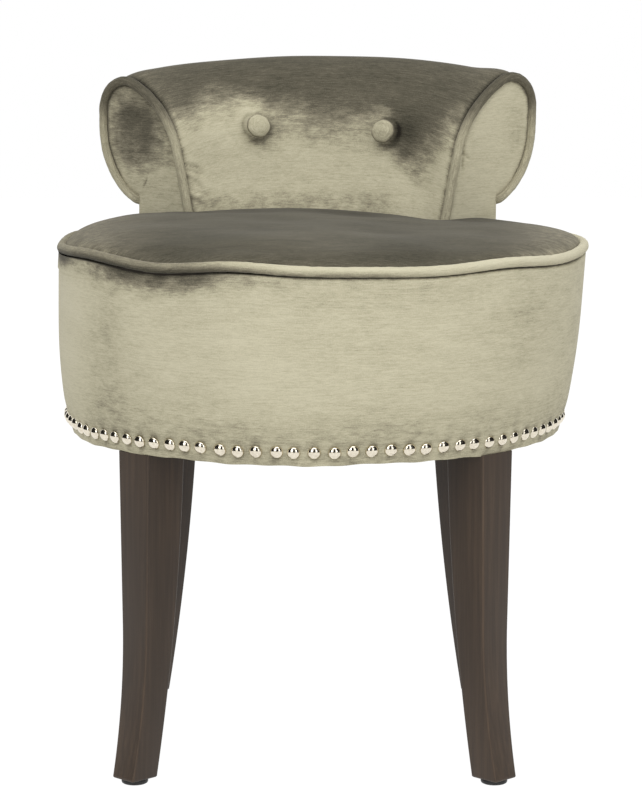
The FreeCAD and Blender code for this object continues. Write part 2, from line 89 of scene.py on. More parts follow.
def enclosed_volume(points, faces):
    """A sixth of the sum, over the triangles of a fan in each face, of a . (b x c)."""
    total = 0.0
    for face in faces:
        corners = points[face]
        total += np.sum(corners[:, :1] * np.cross(corners[:, 1:-1], corners[:, 2:])) / 6.0
    return total


def shell_faces(points, loop_u, loop_v, caps):
    """A grid's cells, their rows and columns, and its caps, all facing outwards. caps "u" closes
    the first and last rows, and "v" the first and last columns."""
    count_u, count_v = points.shape[:2]
    cells, row, column = grid_faces(count_u, count_v, loop_u, loop_v)
    index = np.arange(count_u * count_v).reshape(count_u, count_v)
    edges = {"": [], "u": [index[0, :], index[-1, ::-1]], "v": [index[::-1, 0], index[:, -1]]}[caps]
    if enclosed_volume(points.reshape(-1, 3), [cells] + [edge[None, :] for edge in edges]) < 0:
        cells, row, column = cells[:, ::-1], row[:, ::-1], column[:, ::-1]
        edges = [edge[::-1] for edge in edges]
    return cells, row, column, edges


# %% Mesh from a grid
def add_object(name, data):
    """An object at the origin, in the scene."""
    added = bpy.data.objects.new(name, data)
    bpy.context.scene.collection.objects.link(added)
    return added


def add_mesh(name, points, faces, sharp=None):
    """A mesh object. Given a sharp angle in degrees, it is shaded smooth below it."""
    mesh = bpy.data.meshes.new(name)
    mesh.from_pydata(points.tolist(), [], faces)
    if sharp:
        mesh.polygons.foreach_set("use_smooth", np.ones(len(mesh.polygons), bool))
        mesh.set_sharp_from_angle(angle=math.radians(sharp))
    return add_object(name, mesh)


def make_piece(name, points, loop_u=False, loop_v=False, caps="", cloth=None, tone_and_shading=None, value="tone_and_shading"):
    """A piece from points[u, v, xyz]. cloth is its UV map in metres: the distances along u and
    along v, or a place for each point. tone_and_shading is a value for each point, kept under a
    name: how pale the velvet is there, from the lie of its pile and from painted sheen and
    painted shade, or how worn the wood is, with a painted highlight on its corners."""
    cells, row, column, edges = shell_faces(points, loop_u, loop_v, caps)
    flat = points.reshape(-1, 3)
    piece = add_mesh(name, flat, cells.tolist() + [edge.tolist() for edge in edges], 55)
    mesh = piece.data
    if isinstance(cloth, tuple):
        uv = np.stack([cloth[0][row], cloth[1][column]], axis=-1).reshape(-1, 2)
        uv = np.concatenate([uv, np.zeros((len(mesh.loops) - len(uv), 2))])
    elif cloth is not None:
        uv = cloth.reshape(-1, 2)[np.concatenate([cells.ravel(), *edges])]
    if cloth is not None:
        mesh.uv_layers.new(name="cloth").data.foreach_set("uv", uv.ravel().astype(np.float32))
    if tone_and_shading is not None:
        layer = mesh.attributes.new(value, "FLOAT", "POINT")
        layer.data.foreach_set("value", np.asarray(tone_and_shading, np.float32).ravel())
    mesh.validate()
    return piece


def finish_piece(piece, material, replaced=()):
    """Gives a piece its finish and its place in the frame, and hides the CAD parts that it stands for."""
    piece.data.materials.clear()
    piece.data.materials.append(material)
    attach(piece, "root")
    if replaced:
        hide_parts(*replaced)
    print(piece.name, len(piece.data.vertices), "points")
    return piece


# %% [markdown]
# ## Paths, angles and small surface waves
# A section through the upholstery is a run of straight lines and tangent arcs, as an
# upholsterer's paper pattern is. A Bezier curve could follow it too, but arcs keep the radii that
# the frame was built with. Under the velvet the padding is never quite even, so slow waves from
# sines with fixed random directions are added later, and creases are grooves along short lines.
# Everything is seeded, so each run gives the same stool.

# %% Path of lines and arcs
STEP = 2.0 * MM   # between points along a path


class Path:
    """Points (radius, height) along lines and tangent arcs, each with its lean: degrees from
    upright, outwards. It turns clockwise, with its inside on the right. An inset shifts lines to
    the inside and keeps the arcs' centres."""

    def __init__(self, radius, height, lean, inset=0.0):
        self.lean, self.inset = lean, inset
        self.rows = [np.array([[radius, height, lean]])]
        self.rows[0][0, :2] += self.side(lean) * inset

    def side(self, lean):
        """Unit direction to the inside of a path with this lean."""
        return np.array([math.cos(math.radians(lean)), -math.sin(math.radians(lean))])

    @property
    def end(self):
        """Radius and height of the last point."""
        return self.rows[-1][-1, :2].copy()

    def line(self, length):
        """Straight on, along the lean."""
        heading = np.array([math.sin(math.radians(self.lean)), math.cos(math.radians(self.lean))])
        return self.line_to(self.end + heading * length)

    def line_to(self, point):
        """Straight to a point, in equal steps. The lean stays what it was."""
        start, point = self.end, np.asarray(point, float)
        count = max(1, round(float(np.linalg.norm(point - start)) / STEP))
        share = np.arange(1, count + 1)[:, None] / count
        rows = start + (point - start) * share
        self.rows.append(np.column_stack([rows, np.full(count, self.lean)]))
        return self

    def arc(self, radius, turn):
        """Centre to the right for a positive radius; point = centre - side(lean) * radius."""
        reach = radius - self.inset
        centre = self.end + self.side(self.lean) * reach
        count = max(2, round(abs(reach * math.radians(turn)) / STEP))
        lean = self.lean + turn * np.arange(1, count + 1) / count
        side = np.column_stack([np.cos(np.radians(lean)), -np.sin(np.radians(lean))])
        self.rows.append(np.column_stack([centre - side * reach, lean]))
        self.lean += turn
        return self

    def points(self):
        """Rows of radius, height and lean."""
        return np.concatenate(self.rows)


# %% Places round the axis
UP = np.array([0.0, 0.0, 1.0])


def around(radius, angle, height):
    """Places points by radius, angle from the rear towards +X in degrees, and height."""
    radius, angle, height = np.broadcast_arrays(radius, np.radians(angle), height)
    return np.stack([radius * np.sin(angle), AXIS_Y + radius * np.cos(angle), height], axis=-1)


def direction(angle):
    """The level unit direction away from the axis at an angle."""
    return around(1.0, angle, 0.0) - np.array([0.0, AXIS_Y, 0.0])


def full_turn(count):
    """Angles in radians, at equal steps all round."""
    return np.linspace(0, 2 * math.pi, count, endpoint=False)


def run_length(points):
    """Distance along a row of points, from its first one."""
    steps = np.linalg.norm(np.diff(points, axis=0), axis=1)
    return np.concatenate([[0.0], np.cumsum(steps)])


def grid_normals(points):
    """Unit normals of an open grid: the cross product of its two central differences."""
    normal = np.cross(np.gradient(points, axis=0), np.gradient(points, axis=1))
    return normal / np.maximum(np.linalg.norm(normal, axis=-1, keepdims=True), 1e-12)


# %% Ramps, bells, waves and creases
def ramp(value, low, high):
    """0 below low, 1 above high, and a smooth s-curve 3t^2 - 2t^3 between them."""
    t = np.clip((np.asarray(value, float) - low) / (high - low), 0, 1)
    return t * t * (3 - 2 * t)


def bump(value, middle, spread):
    """A bell curve: exp of minus the squared distance over the squared spread."""
    return np.exp(-(((np.asarray(value, float) - middle) / spread) ** 2))


def bells(bell_list, *places):
    """The sum of depth times a bell in each place, over rows of depth, middle, spread, middle,
    spread."""
    total = 0.0
    for depth, *sizes in bell_list:
        product = depth
        for place, middle, spread in zip(places, sizes[::2], sizes[1::2]):
            product = product * bump(place, middle, spread)
        total = total + product
    return total


def slow_waves(a, b, length, seed):
    """A sum of 7 sines in random fixed directions, about 1 high, with this wavelength."""
    chooser = np.random.default_rng(seed)
    total = np.zeros(np.broadcast(a, b).shape)
    for _ in range(7):
        turn, phase = chooser.uniform(0, 2 * math.pi, 2)
        reach = 2 * math.pi / (length * chooser.uniform(0.7, 1.5))
        total += np.sin((a * math.cos(turn) + b * math.sin(turn)) * reach + phase)
    return total / math.sqrt(7)


def patchy(a, b, seed):
    """A rough mask about 1 high: waves of two lengths, for the worn edges of a smudge."""
    return np.clip(1 + 0.16 * slow_waves(a, b, 0.05, seed) + 0.12 * slow_waves(a, b, 0.02, seed + 1), 0, 2)


def crease(a, b, start, end, width):
    """1 on the line from start to end, falling as a bell across it and fading at its ends."""
    (a0, b0), (a1, b1) = start, end
    length = math.hypot(a1 - a0, b1 - b0)
    along = ((a - a0) * (a1 - a0) + (b - b0) * (b1 - b0)) / length**2
    across = ((a - a0) * (b1 - b0) - (b - b0) * (a1 - a0)) / length
    return bump(across, 0, width) * ramp(along, -0.15, 0.3) * ramp(-along, -1.15, -0.7)


# %% [markdown]
# ## Velvet
# Crushed velvet changes with the lie of its pile: where the pile leans away it is nearly
# charcoal, and where it leans towards the light it is a pale khaki. A sheen shader alone gives
# that only at glancing angles, and the marks would move with the camera. So the sheen is painted
# into the colour: each piece carries a value on its points, partly the lie of its pile and partly
# painted sheen, dark where the cloth faces up and pale where it stands upright, with painted shade
# in grooves and creases and some painted highlights. The material adds what the weaving does: long
# thin streaks along the cloth's width, a softer crush, and the grain of the pile. The noise runs
# on the piece's own cloth coordinates.

# %% Material helpers
def empty_tree(owner):
    """The node tree of a material or a world, with nothing in it yet."""
    owner.use_nodes = True
    owner.node_tree.nodes.clear()
    return owner.node_tree


def node_tree(name):
    """A new material with one shader on its surface."""
    material = bpy.data.materials.new(name)
    tree = empty_tree(material)
    output = tree.nodes.new("ShaderNodeOutputMaterial")
    shader = tree.nodes.new("ShaderNodeBsdfPrincipled")
    tree.links.new(shader.outputs["BSDF"], output.inputs["Surface"])
    return material, tree, shader


def noise(tree, coordinates, scale, detail=3.0, roughness=0.55):
    """Noise stretched by a scale along each coordinate."""
    mapping = tree.nodes.new("ShaderNodeMapping")
    mapping.inputs["Scale"].default_value = scale
    texture = tree.nodes.new("ShaderNodeTexNoise")
    texture.inputs["Scale"].default_value = 1.0
    texture.inputs["Detail"].default_value = detail
    texture.inputs["Roughness"].default_value = roughness
    tree.links.new(coordinates, mapping.inputs["Vector"])
    tree.links.new(mapping.outputs["Vector"], texture.inputs["Vector"])
    return texture.outputs["Fac"]


def combined(tree, operation, first, second, clamp=False):
    """One Math node. Each side is a socket or a number."""
    node = tree.nodes.new("ShaderNodeMath")
    node.operation = operation
    node.use_clamp = clamp
    for socket, value in zip(node.inputs, (first, second)):
        if isinstance(value, (int, float)):
            socket.default_value = value
        else:
            tree.links.new(value, socket)
    return node.outputs[0]


def paint(tree, shader, factor, stops):
    """Base colour that follows a value through a ramp of colours."""
    node = tree.nodes.new("ShaderNodeValToRGB")
    ramp_points = node.color_ramp.elements
    while len(ramp_points) < len(stops):
        ramp_points.new(0.5)
    for element, (place, colour) in zip(ramp_points, stops):
        element.position = place
        element.color = (*colour, 1.0)
    tree.links.new(factor, node.inputs["Fac"])
    tree.links.new(node.outputs["Color"], shader.inputs["Base Color"])


def point_value(tree, name):
    """The value that a piece keeps on its points under a name."""
    node = tree.nodes.new("ShaderNodeAttribute")
    node.attribute_name = name
    return node.outputs["Fac"]


def add_relief(tree, shader, height, strength, distance):
    """Fine relief in the shading only, as high as the distance in metres."""
    node = tree.nodes.new("ShaderNodeBump")
    node.inputs["Strength"].default_value = strength
    node.inputs["Distance"].default_value = distance
    tree.links.new(height, node.inputs["Height"])
    tree.links.new(node.outputs["Normal"], shader.inputs["Normal"])


def set_shader(shader, **values):
    """Sets the shader's own sockets, by their names in lower case with underscores."""
    sockets = {socket.name.lower().replace(" ", "_"): socket for socket in shader.inputs}
    for name, value in values.items():
        sockets[name].default_value = value


def srgb(red, green, blue):
    """Screen values from 0 to 255 as linear light."""
    values = np.array([red, green, blue]) / 255.0
    return tuple(np.where(values <= 0.04045, values / 12.92, ((values + 0.055) / 1.055) ** 2.4))


# %% Velvet material
# The velvet's colours from dark to pale: the darkest stand for painted shade in grooves, the dark ones for
# painted sheen where the cloth faces up, the pale ones for upright cloth.
PILE_AND_SHADE_COLOURS = [
    (0.0, srgb(38, 34, 28)),
    (0.15, srgb(73, 70, 58)),
    (0.3, srgb(98, 93, 79)),
    (0.5, srgb(140, 134, 114)),
    (0.68, srgb(180, 174, 148)),
    (0.82, srgb(197, 191, 165)),
    (1.0, srgb(208, 202, 178)),
]
# Stretch along the cloth's two directions, detail, roughness, and how far the layer sways the lie.
WEAVE_LAYERS = [
    ((16, 46, 1), 4.0, 0.65, 0.18),      # slow crush
    ((34, 560, 1), 3.0, 0.6, 0.26),      # long streaks
    ((150, 1000, 1), 2.0, 0.6, 0.32),    # short streaks
    ((900, 900, 1), 1.0, 0.5, 0.24),     # tufts of pile
]


def velvet(name, crush):
    """The velvet, with this much wear where the pile's tone and its painted sheen turn from dark to
    pale: there value * (1 - value) * 4 is highest."""
    material, tree, shader = node_tree(name)
    cloth = tree.nodes.new("ShaderNodeUVMap")
    cloth.uv_map = "cloth"
    uv = cloth.outputs["UV"]
    # The value on the points: the lie of the pile, with painted sheen, painted shade and painted highlights
    # in it.
    tone_and_shading = lie_and_shading = point_value(tree, "tone_and_shading")
    for scale, detail, roughness, sway in WEAVE_LAYERS:
        swing = combined(tree, "SUBTRACT", noise(tree, uv, scale, detail, roughness), 0.5)
        lie_and_shading = combined(tree, "ADD", lie_and_shading, combined(tree, "MULTIPLY", swing, sway))
    turning = combined(tree, "MULTIPLY", tone_and_shading, combined(tree, "SUBTRACT", 1.0, tone_and_shading))
    turning = combined(tree, "POWER", combined(tree, "MULTIPLY", turning, 4.0, True), 4.0)
    worn = combined(tree, "SUBTRACT", noise(tree, uv, (55, 130, 1), 7.0, 0.72), 0.5)
    worn = combined(tree, "MULTIPLY", combined(tree, "MULTIPLY", worn, crush), turning)
    lie_and_shading = combined(tree, "ADD", lie_and_shading, worn)
    paint(tree, shader, lie_and_shading, PILE_AND_SHADE_COLOURS)
    grain = noise(tree, uv, (1400, 1400, 1), 2.0, 0.6)
    weft = noise(tree, uv, (60, 900, 1), 2.0, 0.5)
    height = combined(tree, "ADD", combined(tree, "MULTIPLY", grain, 0.5), weft)
    add_relief(tree, shader, height, 0.35, 0.4 * MM)
    set_shader(shader, roughness=0.85, specular_ior_level=0.15, sheen_weight=0.14, sheen_roughness=0.4)
    set_shader(shader, sheen_tint=(0.9, 0.87, 0.78, 1))
    return material


VELVET = velvet("taupe_velvet", 0.85)
WELT_VELVET = velvet("taupe_velvet_on_piping", 0.25)

# %% [markdown]
# ## Where hand work moves the seams
# The piping of a hand-sewn seat wanders by a few millimetres, and so does the hem. A displacement
# texture would move the whole surface alike, so each seam has its own formula instead, written
# from the front, where a customer sees it. The tight top was also pulled a little to one side.

# %% Wandering seams
# Height in mm, angle from the front towards -X in degrees, and spread.
WELT_BELLS = [
    (2.6, 60, 11), (2.4, 18, 9), (1.2, -42, 9), (-2.4, 37, 9),
    (-0.9, -3, 11), (-2.2, -22, 12), (-2.4, -62, 14), (-1.8, 88, 10),
]
TOP_ASIDE, BACK_ASIDE = 7.6 * MM, 2.4 * MM


def welt_wave(angle):
    """How far the seat piping stands above its level ring: bells round the front and five slow
    waves at the rear."""
    front = (np.asarray(angle, float) % 360.0) - 180.0
    rear = 0.8 * np.sin(np.radians(front) * 5) * ramp(abs(front), 95, 120)
    return (bells(WELT_BELLS, front) + rear) * MM


def hem_wave(angle):
    """How far the hem stands above its level: three sines round the seat."""
    turn = np.radians(np.asarray(angle, float))
    waves = 0.55 * np.sin(7 * turn + 0.6) + 0.4 * np.sin(17 * turn + 2.0) + 0.3 * np.sin(43 * turn)
    return (waves - 0.7) * MM


def set_aside(points, share=1.0):
    """Moves points towards +X: the hand-pulled top sits a little off the centre of the legs, and
    less so at the rear, where the back holds the seat."""
    moved = points.copy()
    front_share = 1 - ramp(points[..., 1] - AXIS_Y, 0.0, 110 * MM)
    moved[..., 0] += share * (BACK_ASIDE + (TOP_ASIDE - BACK_ASIDE) * front_share)
    return moved


# %% [markdown]
# ## The seat's side
# The drum's side is one band of velvet over padding, full at the hem and nearly upright above. A
# cylinder with a bevel would miss that fullness. Its section is two tangent arcs, then a short
# roll in under the piping. Below, the cloth folds under the base ring. The section closes on
# itself, so the whole side is one ring-shaped shell, pulled in a little round each nail.

# %% Side pad
HEM_R = BAND_R + 3.4 * MM
HEM_LEAN, WAIST_LEAN, WAIST_HEIGHT = 18.0, 6.0, 42.0 * MM
LOWER_R = WAIST_HEIGHT / (math.sin(math.radians(HEM_LEAN)) - math.sin(math.radians(WAIST_LEAN)))
FOLD_R = FRAME_R - 10 * MM
NAIL_COUNT, NAIL_RISE = 86, 12.6 * MM


def side_section():
    """From the fold under the base ring, up the face and in under the piping, then back down
    inside the pad. The second result is 1 on the face and fades off it."""
    path = Path(HEM_R, HEM_Z, HEM_LEAN).arc(-LOWER_R, WAIST_LEAN - HEM_LEAN)
    chord = np.array([WELT_R + 2.0 * MM, WELT_Z]) - path.end
    turn = 2 * (WAIST_LEAN - math.degrees(math.atan2(chord[0], chord[1])))
    path.arc(-np.linalg.norm(chord) / (2 * math.sin(math.radians(turn / 2))), -turn)
    face = path.points()[:, :2]
    face = face[face[:, 1] < WELT_Z - 6.4 * MM]
    top_r, top_z = face[-1]
    hem = [[FOLD_R, HEM_Z], [HEM_R - 1.2 * MM, HEM_Z]]
    roll = [
        [top_r - 0.3 * MM, top_z + 1.6 * MM],
        [top_r - 1.2 * MM, top_z + 2.8 * MM],
        [top_r - 2.6 * MM, top_z + 3.2 * MM],
        [WELT_R - 3.0 * MM, top_z + 3.0 * MM],
    ]
    inner = [
        [WELT_R - 3.4 * MM, DECK_Z + 0.2 * MM],
        [BAND_R + 0.2 * MM, DECK_Z + 0.2 * MM],
        [BAND_R + 0.2 * MM, RING_Z - 0.2 * MM],
        [FOLD_R, RING_Z - 0.2 * MM],
    ]
    is_face = np.concatenate([[0, 0.3], np.ones(len(face)), [1, 0.8, 0.5, 0.2], np.zeros(4)])
    return np.concatenate([hem, face, roll, inner]), is_face


# Depth, then middle and spread in x and in height, in mm: the worn dark marks on the side.
SIDE_MARKS = [
    (0.37, -155, 58, 460, 13),   # under the piping at the sitter's right
    (0.22, -95, 55, 462, 10),
    (0.07, -183, 15, 400, 55),   # a streak down from it
    (0.04, -186, 14, 350, 30),
    (0.08, 100, 40, 455, 14),    # under the piping at the sitter's left
    (0.06, 185, 22, 430, 40),
]


def side_tone_and_shading(x, height, angle):
    """The side is pale, partly the lie of its pile and partly painted sheen on upright cloth, with
    the dark marks on its front and darker towards the hem. Painted shade lies in the groove and
    along a line under the piping and in the gathers above the nails, and a painted highlight on
    its far left edge."""
    length = np.radians(angle) * WELT_R
    rough = patchy(length, height * 1.6, 51) * ramp(-np.cos(np.radians(angle)), 0.0, 0.3)
    z = (height - welt_wave(angle) * ramp(height, 400 * MM, 460 * MM)) / MM
    x = x / MM
    value = 0.762 + 0.02 * slow_waves(length, height, 0.16, 5) - bells(SIDE_MARKS, x, z) * rough
    # Painted shade along a line under the piping, and a painted highlight on the far left edge.
    value = value - 0.16 * bump(x, -190, 60) * bump(z, 464, 6) + 0.10 * bump(x, -222, 26)
    gathers = np.clip(slow_waves(length, 0 * z, 0.05, 77), 0, 2)
    # Darker towards the hem, and painted shade in the gathers above the nails.
    value = value - 0.11 * ramp(-z, -370, -312) - 0.03 * bump(z, 322, 12) * gathers
    # Painted shade in the groove under the piping.
    return value - 0.62 * ramp(z, 463.2, 465.4)


def make_side_pad():
    """The section turned round the axis. Its radius also swells slowly, and it is drawn in at
    every nail and along their line; its height follows both seams."""
    section, is_face = side_section()
    angle = np.linspace(0, 360, 688, endpoint=False)[:, None]
    radius, height = section[None, :, 0], section[None, :, 1]
    top_share = ramp(height, WELT_Z - 70 * MM, WELT_Z - 6 * MM)
    hem_share = ramp(-height, -(HEM_Z + 40 * MM), -HEM_Z)
    lift = (welt_wave(angle) * top_share + hem_wave(angle) * hem_share) * is_face
    length = np.radians(angle) * WELT_R
    nail_phase = np.cos(np.radians(angle) * NAIL_COUNT)
    nail_line = HEM_Z + NAIL_RISE
    gather = 0.7 * MM * nail_phase * bump(height, nail_line, 7 * MM)
    pleats = nail_phase * slow_waves(length, 0 * angle, 0.12, 3)
    gather = gather + 0.5 * MM * pleats * bump(height, nail_line + 12 * MM, 12 * MM)
    fullness = 0.6 * MM * slow_waves(length, height, 0.11, 8) + 1.6 * MM * bump(height, 385 * MM, 60 * MM)
    fullness = fullness - 1.2 * MM * bump(height, nail_line, 9 * MM)
    points = around(radius + (fullness - gather) * is_face, angle, height + lift)
    points = set_aside(points, np.clip((height - HEM_Z) / (WELT_Z - HEM_Z), 0, 1) * is_face)
    tone_and_shading = side_tone_and_shading(points[..., 0], points[..., 2], angle)
    # Painted shadow in the cloth round each nail head.
    tone_and_shading = tone_and_shading - 0.22 * bump(height, nail_line - 1.0 * MM, 6.5 * MM) * ramp(nail_phase, -0.3, 0.7)
    cloth = (np.linspace(0, 2 * math.pi * WELT_R, len(angle) + 1), np.append(run_length(section), 0.0))
    return make_piece("side_upholstery", points, True, True, cloth=cloth, tone_and_shading=tone_and_shading)


side_pad = finish_piece(make_side_pad(), VELVET, ["seat_side_pad"])

# %% [markdown]
# ## Piping
# Piping is a strip of the velvet sewn round a cord. A curve with a round bevel would do, but its
# strip needs its own tone, with painted sheen and painted shade, and small puckers across it. So
# both kinds are tubes of points carried along a path: the seat's is a ring that wanders with its
# seam, the back's follow the end panels' outlines.

# %% Tube along a path
def tube(name, middle, side, across, radius, loop, tone_and_shading_of, seed):
    """Points middle + (side cos t + across sin t) * radius, where side and across are the two
    unit directions square to the path at each station."""
    turn = full_turn(20)[None, :, None]
    along = run_length(np.concatenate([middle, middle[:1]]) if loop else middle)
    pucker = 1 + 0.025 * slow_waves(along[: len(middle), None], turn[..., 0] * radius, 9 * MM, seed)
    ring = side[:, None, :] * np.cos(turn) + across[:, None, :] * np.sin(turn)
    points = middle[:, None, :] + ring * radius * pucker[..., None]
    cloth = (along, np.linspace(0, 2 * math.pi * radius, 21))
    return make_piece(name, points, loop, True, "" if loop else "u", cloth, tone_and_shading_of(points, ring))


def seat_piping_tone_and_shading(points, outward):
    """A painted highlight along its upper edge and painted shade on its lower half, and darker altogether at
    the sitter's right.
    """
    x = points[..., 0] / MM
    # Painted shade where the piping faces down, paler along its upper edge.
    value = 0.82 - (0.34 - 0.16 * ramp(x, 20, 120)) * ramp(-outward[..., 2], -0.7, 0.85)
    return value - 0.34 * ramp(-x, 20, 130) + 0.06 * ramp(x, 60, 160)


def make_seat_piping():
    """A ring at the piping's radius, raised by its wave and set aside with the top."""
    angle = np.linspace(0, 360, 720, endpoint=False)
    middle = set_aside(around(WELT_R, angle, WELT_Z + welt_wave(angle)))
    side = direction(angle)
    up = np.broadcast_to(UP, side.shape)
    return tube("seat_welt", middle, side, up, PIPING_R, True, seat_piping_tone_and_shading, 21)


finish_piece(make_seat_piping(), WELT_VELVET, ["seat_piping"])

# %% [markdown]
# ## The back's section
# The back leans out from the deck, scoops into a roll, turns down outside and tucks in under the
# roll. A loft through several drawn sections would make it, but one section is enough: the roll
# is highest at the rear, so towards the rear the straight part stretches, and all above it is
# lifted. The real back was stuffed by hand, so in the end all its points move by a few smooth
# offsets.

# %% Back section
BACK_HALF_ANGLE, BACK_LEAN = 48.0, 14.0
LEAN_SLOPE = math.tan(math.radians(BACK_LEAN))
OUTSIDE_R = FRAME_R + 14.5 * MM
BACK_BASE_R, FACE_LENGTH = OUTSIDE_R - 77.8 * MM, 94.8 * MM
SCOOP_R, SCOOP_END = 100 * MM, 70.0
ROLL_R, ROLL_DROP, UNDER_R = 32 * MM, 15 * MM, 78 * MM
BACK_CROWN = 20 * MM


def back_rise(angle):
    """How much higher the roll is at an angle: the crown times 1 - |angle / half angle|^3."""
    return BACK_CROWN * (1 - np.clip(np.abs(angle) / BACK_HALF_ANGLE, 0, 1) ** 3)


def settle_back(points):
    """Moves the back as the hand-stuffed one stands: a little towards +X, lower on both sides
    of the roll's highest place, and higher at the scroll on the +X side."""
    x, z = points[..., 0], points[..., 2]
    scroll = ramp(x, 150 * MM, 190 * MM) * ramp(z, 540 * MM, 600 * MM)
    ease = bump(x, -85 * MM, 62 * MM) + 0.7 * bump(x, 125 * MM, 50 * MM)
    moved = points.copy()
    moved[..., 0] += BACK_ASIDE + 0.8 * MM * scroll
    moved[..., 2] += 4.4 * MM * scroll - 2.6 * MM * ease * ramp(z, 575 * MM, 615 * MM)
    return moved


def over_the_roll(inset=0.0):
    """The straight face, the scoop, the roll and its drop, and the number of points on the face.
    An inset face starts on the deck too."""
    path = Path(BACK_BASE_R, DECK_Z, BACK_LEAN, inset)
    path.rows[0][0, :2] = BACK_BASE_R + inset / math.cos(math.radians(BACK_LEAN)), DECK_Z
    path.line(FACE_LENGTH - inset * LEAN_SLOPE)
    face_count = len(path.points())
    path.arc(SCOOP_R, SCOOP_END - BACK_LEAN).arc(ROLL_R, 180 - SCOOP_END).line(ROLL_DROP)
    return path, face_count


def under_the_roll(path, wall):
    """Tangent arc inwards under the roll to a wall this far from the axis."""
    reach = UNDER_R - path.inset
    return path.arc(UNDER_R, math.degrees(math.acos((wall - path.end[0] + reach) / reach)))


def to_the_ends(across, radius, depth):
    """Angles for across from -1 to 1, from one end to the other, that stop at a depth inside the
    two end planes: the half angle less asin(depth / radius)."""
    return across * (BACK_HALF_ANGLE - np.degrees(np.arcsin(depth / radius)))


# %% [markdown]
# ## The inside back
# The inside face and the roll are one padded panel. It is soft: pulled in hard at the two
# buttons, a little low along the piping at its ends, with short tucks where the cloth bunches
# beside the piping near the seat. Sculpting could make all this. Here each is a push along the
# surface's own normals, so that it can be measured and changed.

# %% Places on the inside back
RIGHT, LEFT = 1, -1
BUTTON_ANGLES = {LEFT: -19.3, RIGHT: 21.6}
button_low, button_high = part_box("back_buttons")
BUTTON_LEVEL = (button_low.z + button_high.z) / 2
BUTTON_Z = {LEFT: BUTTON_LEVEL + 3.0 * MM, RIGHT: BUTTON_LEVEL - 2.0 * MM}
BACK_MEAN_R, ROLL_MEAN_R = 185 * MM, 200 * MM   # lengths on the cloth are measured on these
rail_low, rail_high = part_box("back_roll_rail")
RAIL_LOW, RAIL_HIGH = rail_low.z - 0.3 * MM, rail_high.z + 0.3 * MM
RAIL_R = rail_high.y - AXIS_Y + 0.7 * MM
BOARD_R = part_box("back_outer_board")[1].y - AXIS_Y + 0.7 * MM
LINER_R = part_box("back_liner")[1].y - AXIS_Y - 3.3 * MM
END_DEPTH = 5.2 * MM
print("buttons at z", round(BUTTON_Z[LEFT], 4), round(BUTTON_Z[RIGHT], 4))

# %% Pile and tucks of the inside back
BORDER_BELLS = [(3, -70, 25), (-6, 30, 40), (-37, 96, 27)]   # height, middle and spread in mm
# What a button adds to the tone beside it, as painted shadow and painted highlight: depth, then
# middle and spread, across and up, in mm.
BUTTON_SHADOWS = {LEFT: (-0.20, 12, 13, -9, 13), RIGHT: (-0.19, 21, 20, -9, 20)}
BUTTON_HIGHLIGHT = (0.20, -6, 12, 14, 12)
# Number of tucks, the angle where they start, their turn, the lowest one's height and their depth.
END_TUCKS = [(6, -46.6, 5.5, 500, 1.0), (4, 38.0, -5.0, 516, 0.45)]


def back_tone_and_shading(x, z, length):
    """Dark over the roll and pale down the face: painted sheen, dark where the cloth faces up and
    pale where it stands upright. The border between them runs lower in the middle and lowest
    right of the sitter's left button, and is ragged. The foot of the face has a painted shadow
    where it meets the seat."""
    rough = slow_waves(length, z * 1.5, 0.05, 61) * 3 + slow_waves(length, z * 1.5, 0.02, 62) * 1.5
    x, z = x / MM, z / MM
    border = 591 - 14 * ramp(x, -65, -20) - 10 * ramp(-x, 100, 140) + bells(BORDER_BELLS, x) + rough
    width = 27 + bells([(12, 102, 30), (8, 20, 50)], x)
    value = 0.75 - 0.53 * ramp(z, border - width, border + width) + 0.07 * ramp(abs(x), 125, 165)
    # Painted shadow at the foot of the face, where it meets the seat.
    value = value - 0.13 * ramp(-z, -512, -496) * ramp(-x, -90, -60)
    return value - 0.05 * bump(x, -20, 60) * bump(z, 560, 18)


def button_shades(across, up, side):
    """A painted shadow to the lower right of a button, a painted highlight to its upper left, and
    two rings of painted shade close to its edge. across and up are mm on the cloth from the button."""
    # Painted shade round the button's edge, heavier to the lower right.
    ring = 0.20 * bump(np.hypot(across - 1, up + 3), 13, 3) * ramp(across - up, 0, 12)
    ring = ring + 0.16 * bump(np.hypot(across, up), 12.5, 1.6)
    return bells([BUTTON_SHADOWS[side], BUTTON_HIGHLIGHT], across, up) - ring


def end_tucks(length, height):
    """Short creases falling away from each end, one above the other and a little uneven."""
    total = 0.0
    for count, angle, turn, low, depth in END_TUCKS:
        start = math.radians(angle) * BACK_MEAN_R
        for step in range(count):
            z = (low + step * 6.3 + step * 5 % 3) * MM
            end = start + math.radians(turn * (1 + step * 2 % 3 * 0.25)) * BACK_MEAN_R
            line = crease(length, height, (start, z + 3 * MM), (end, z - 3.5 * MM), 1.7 * MM)
            total = total + depth * line
    return total


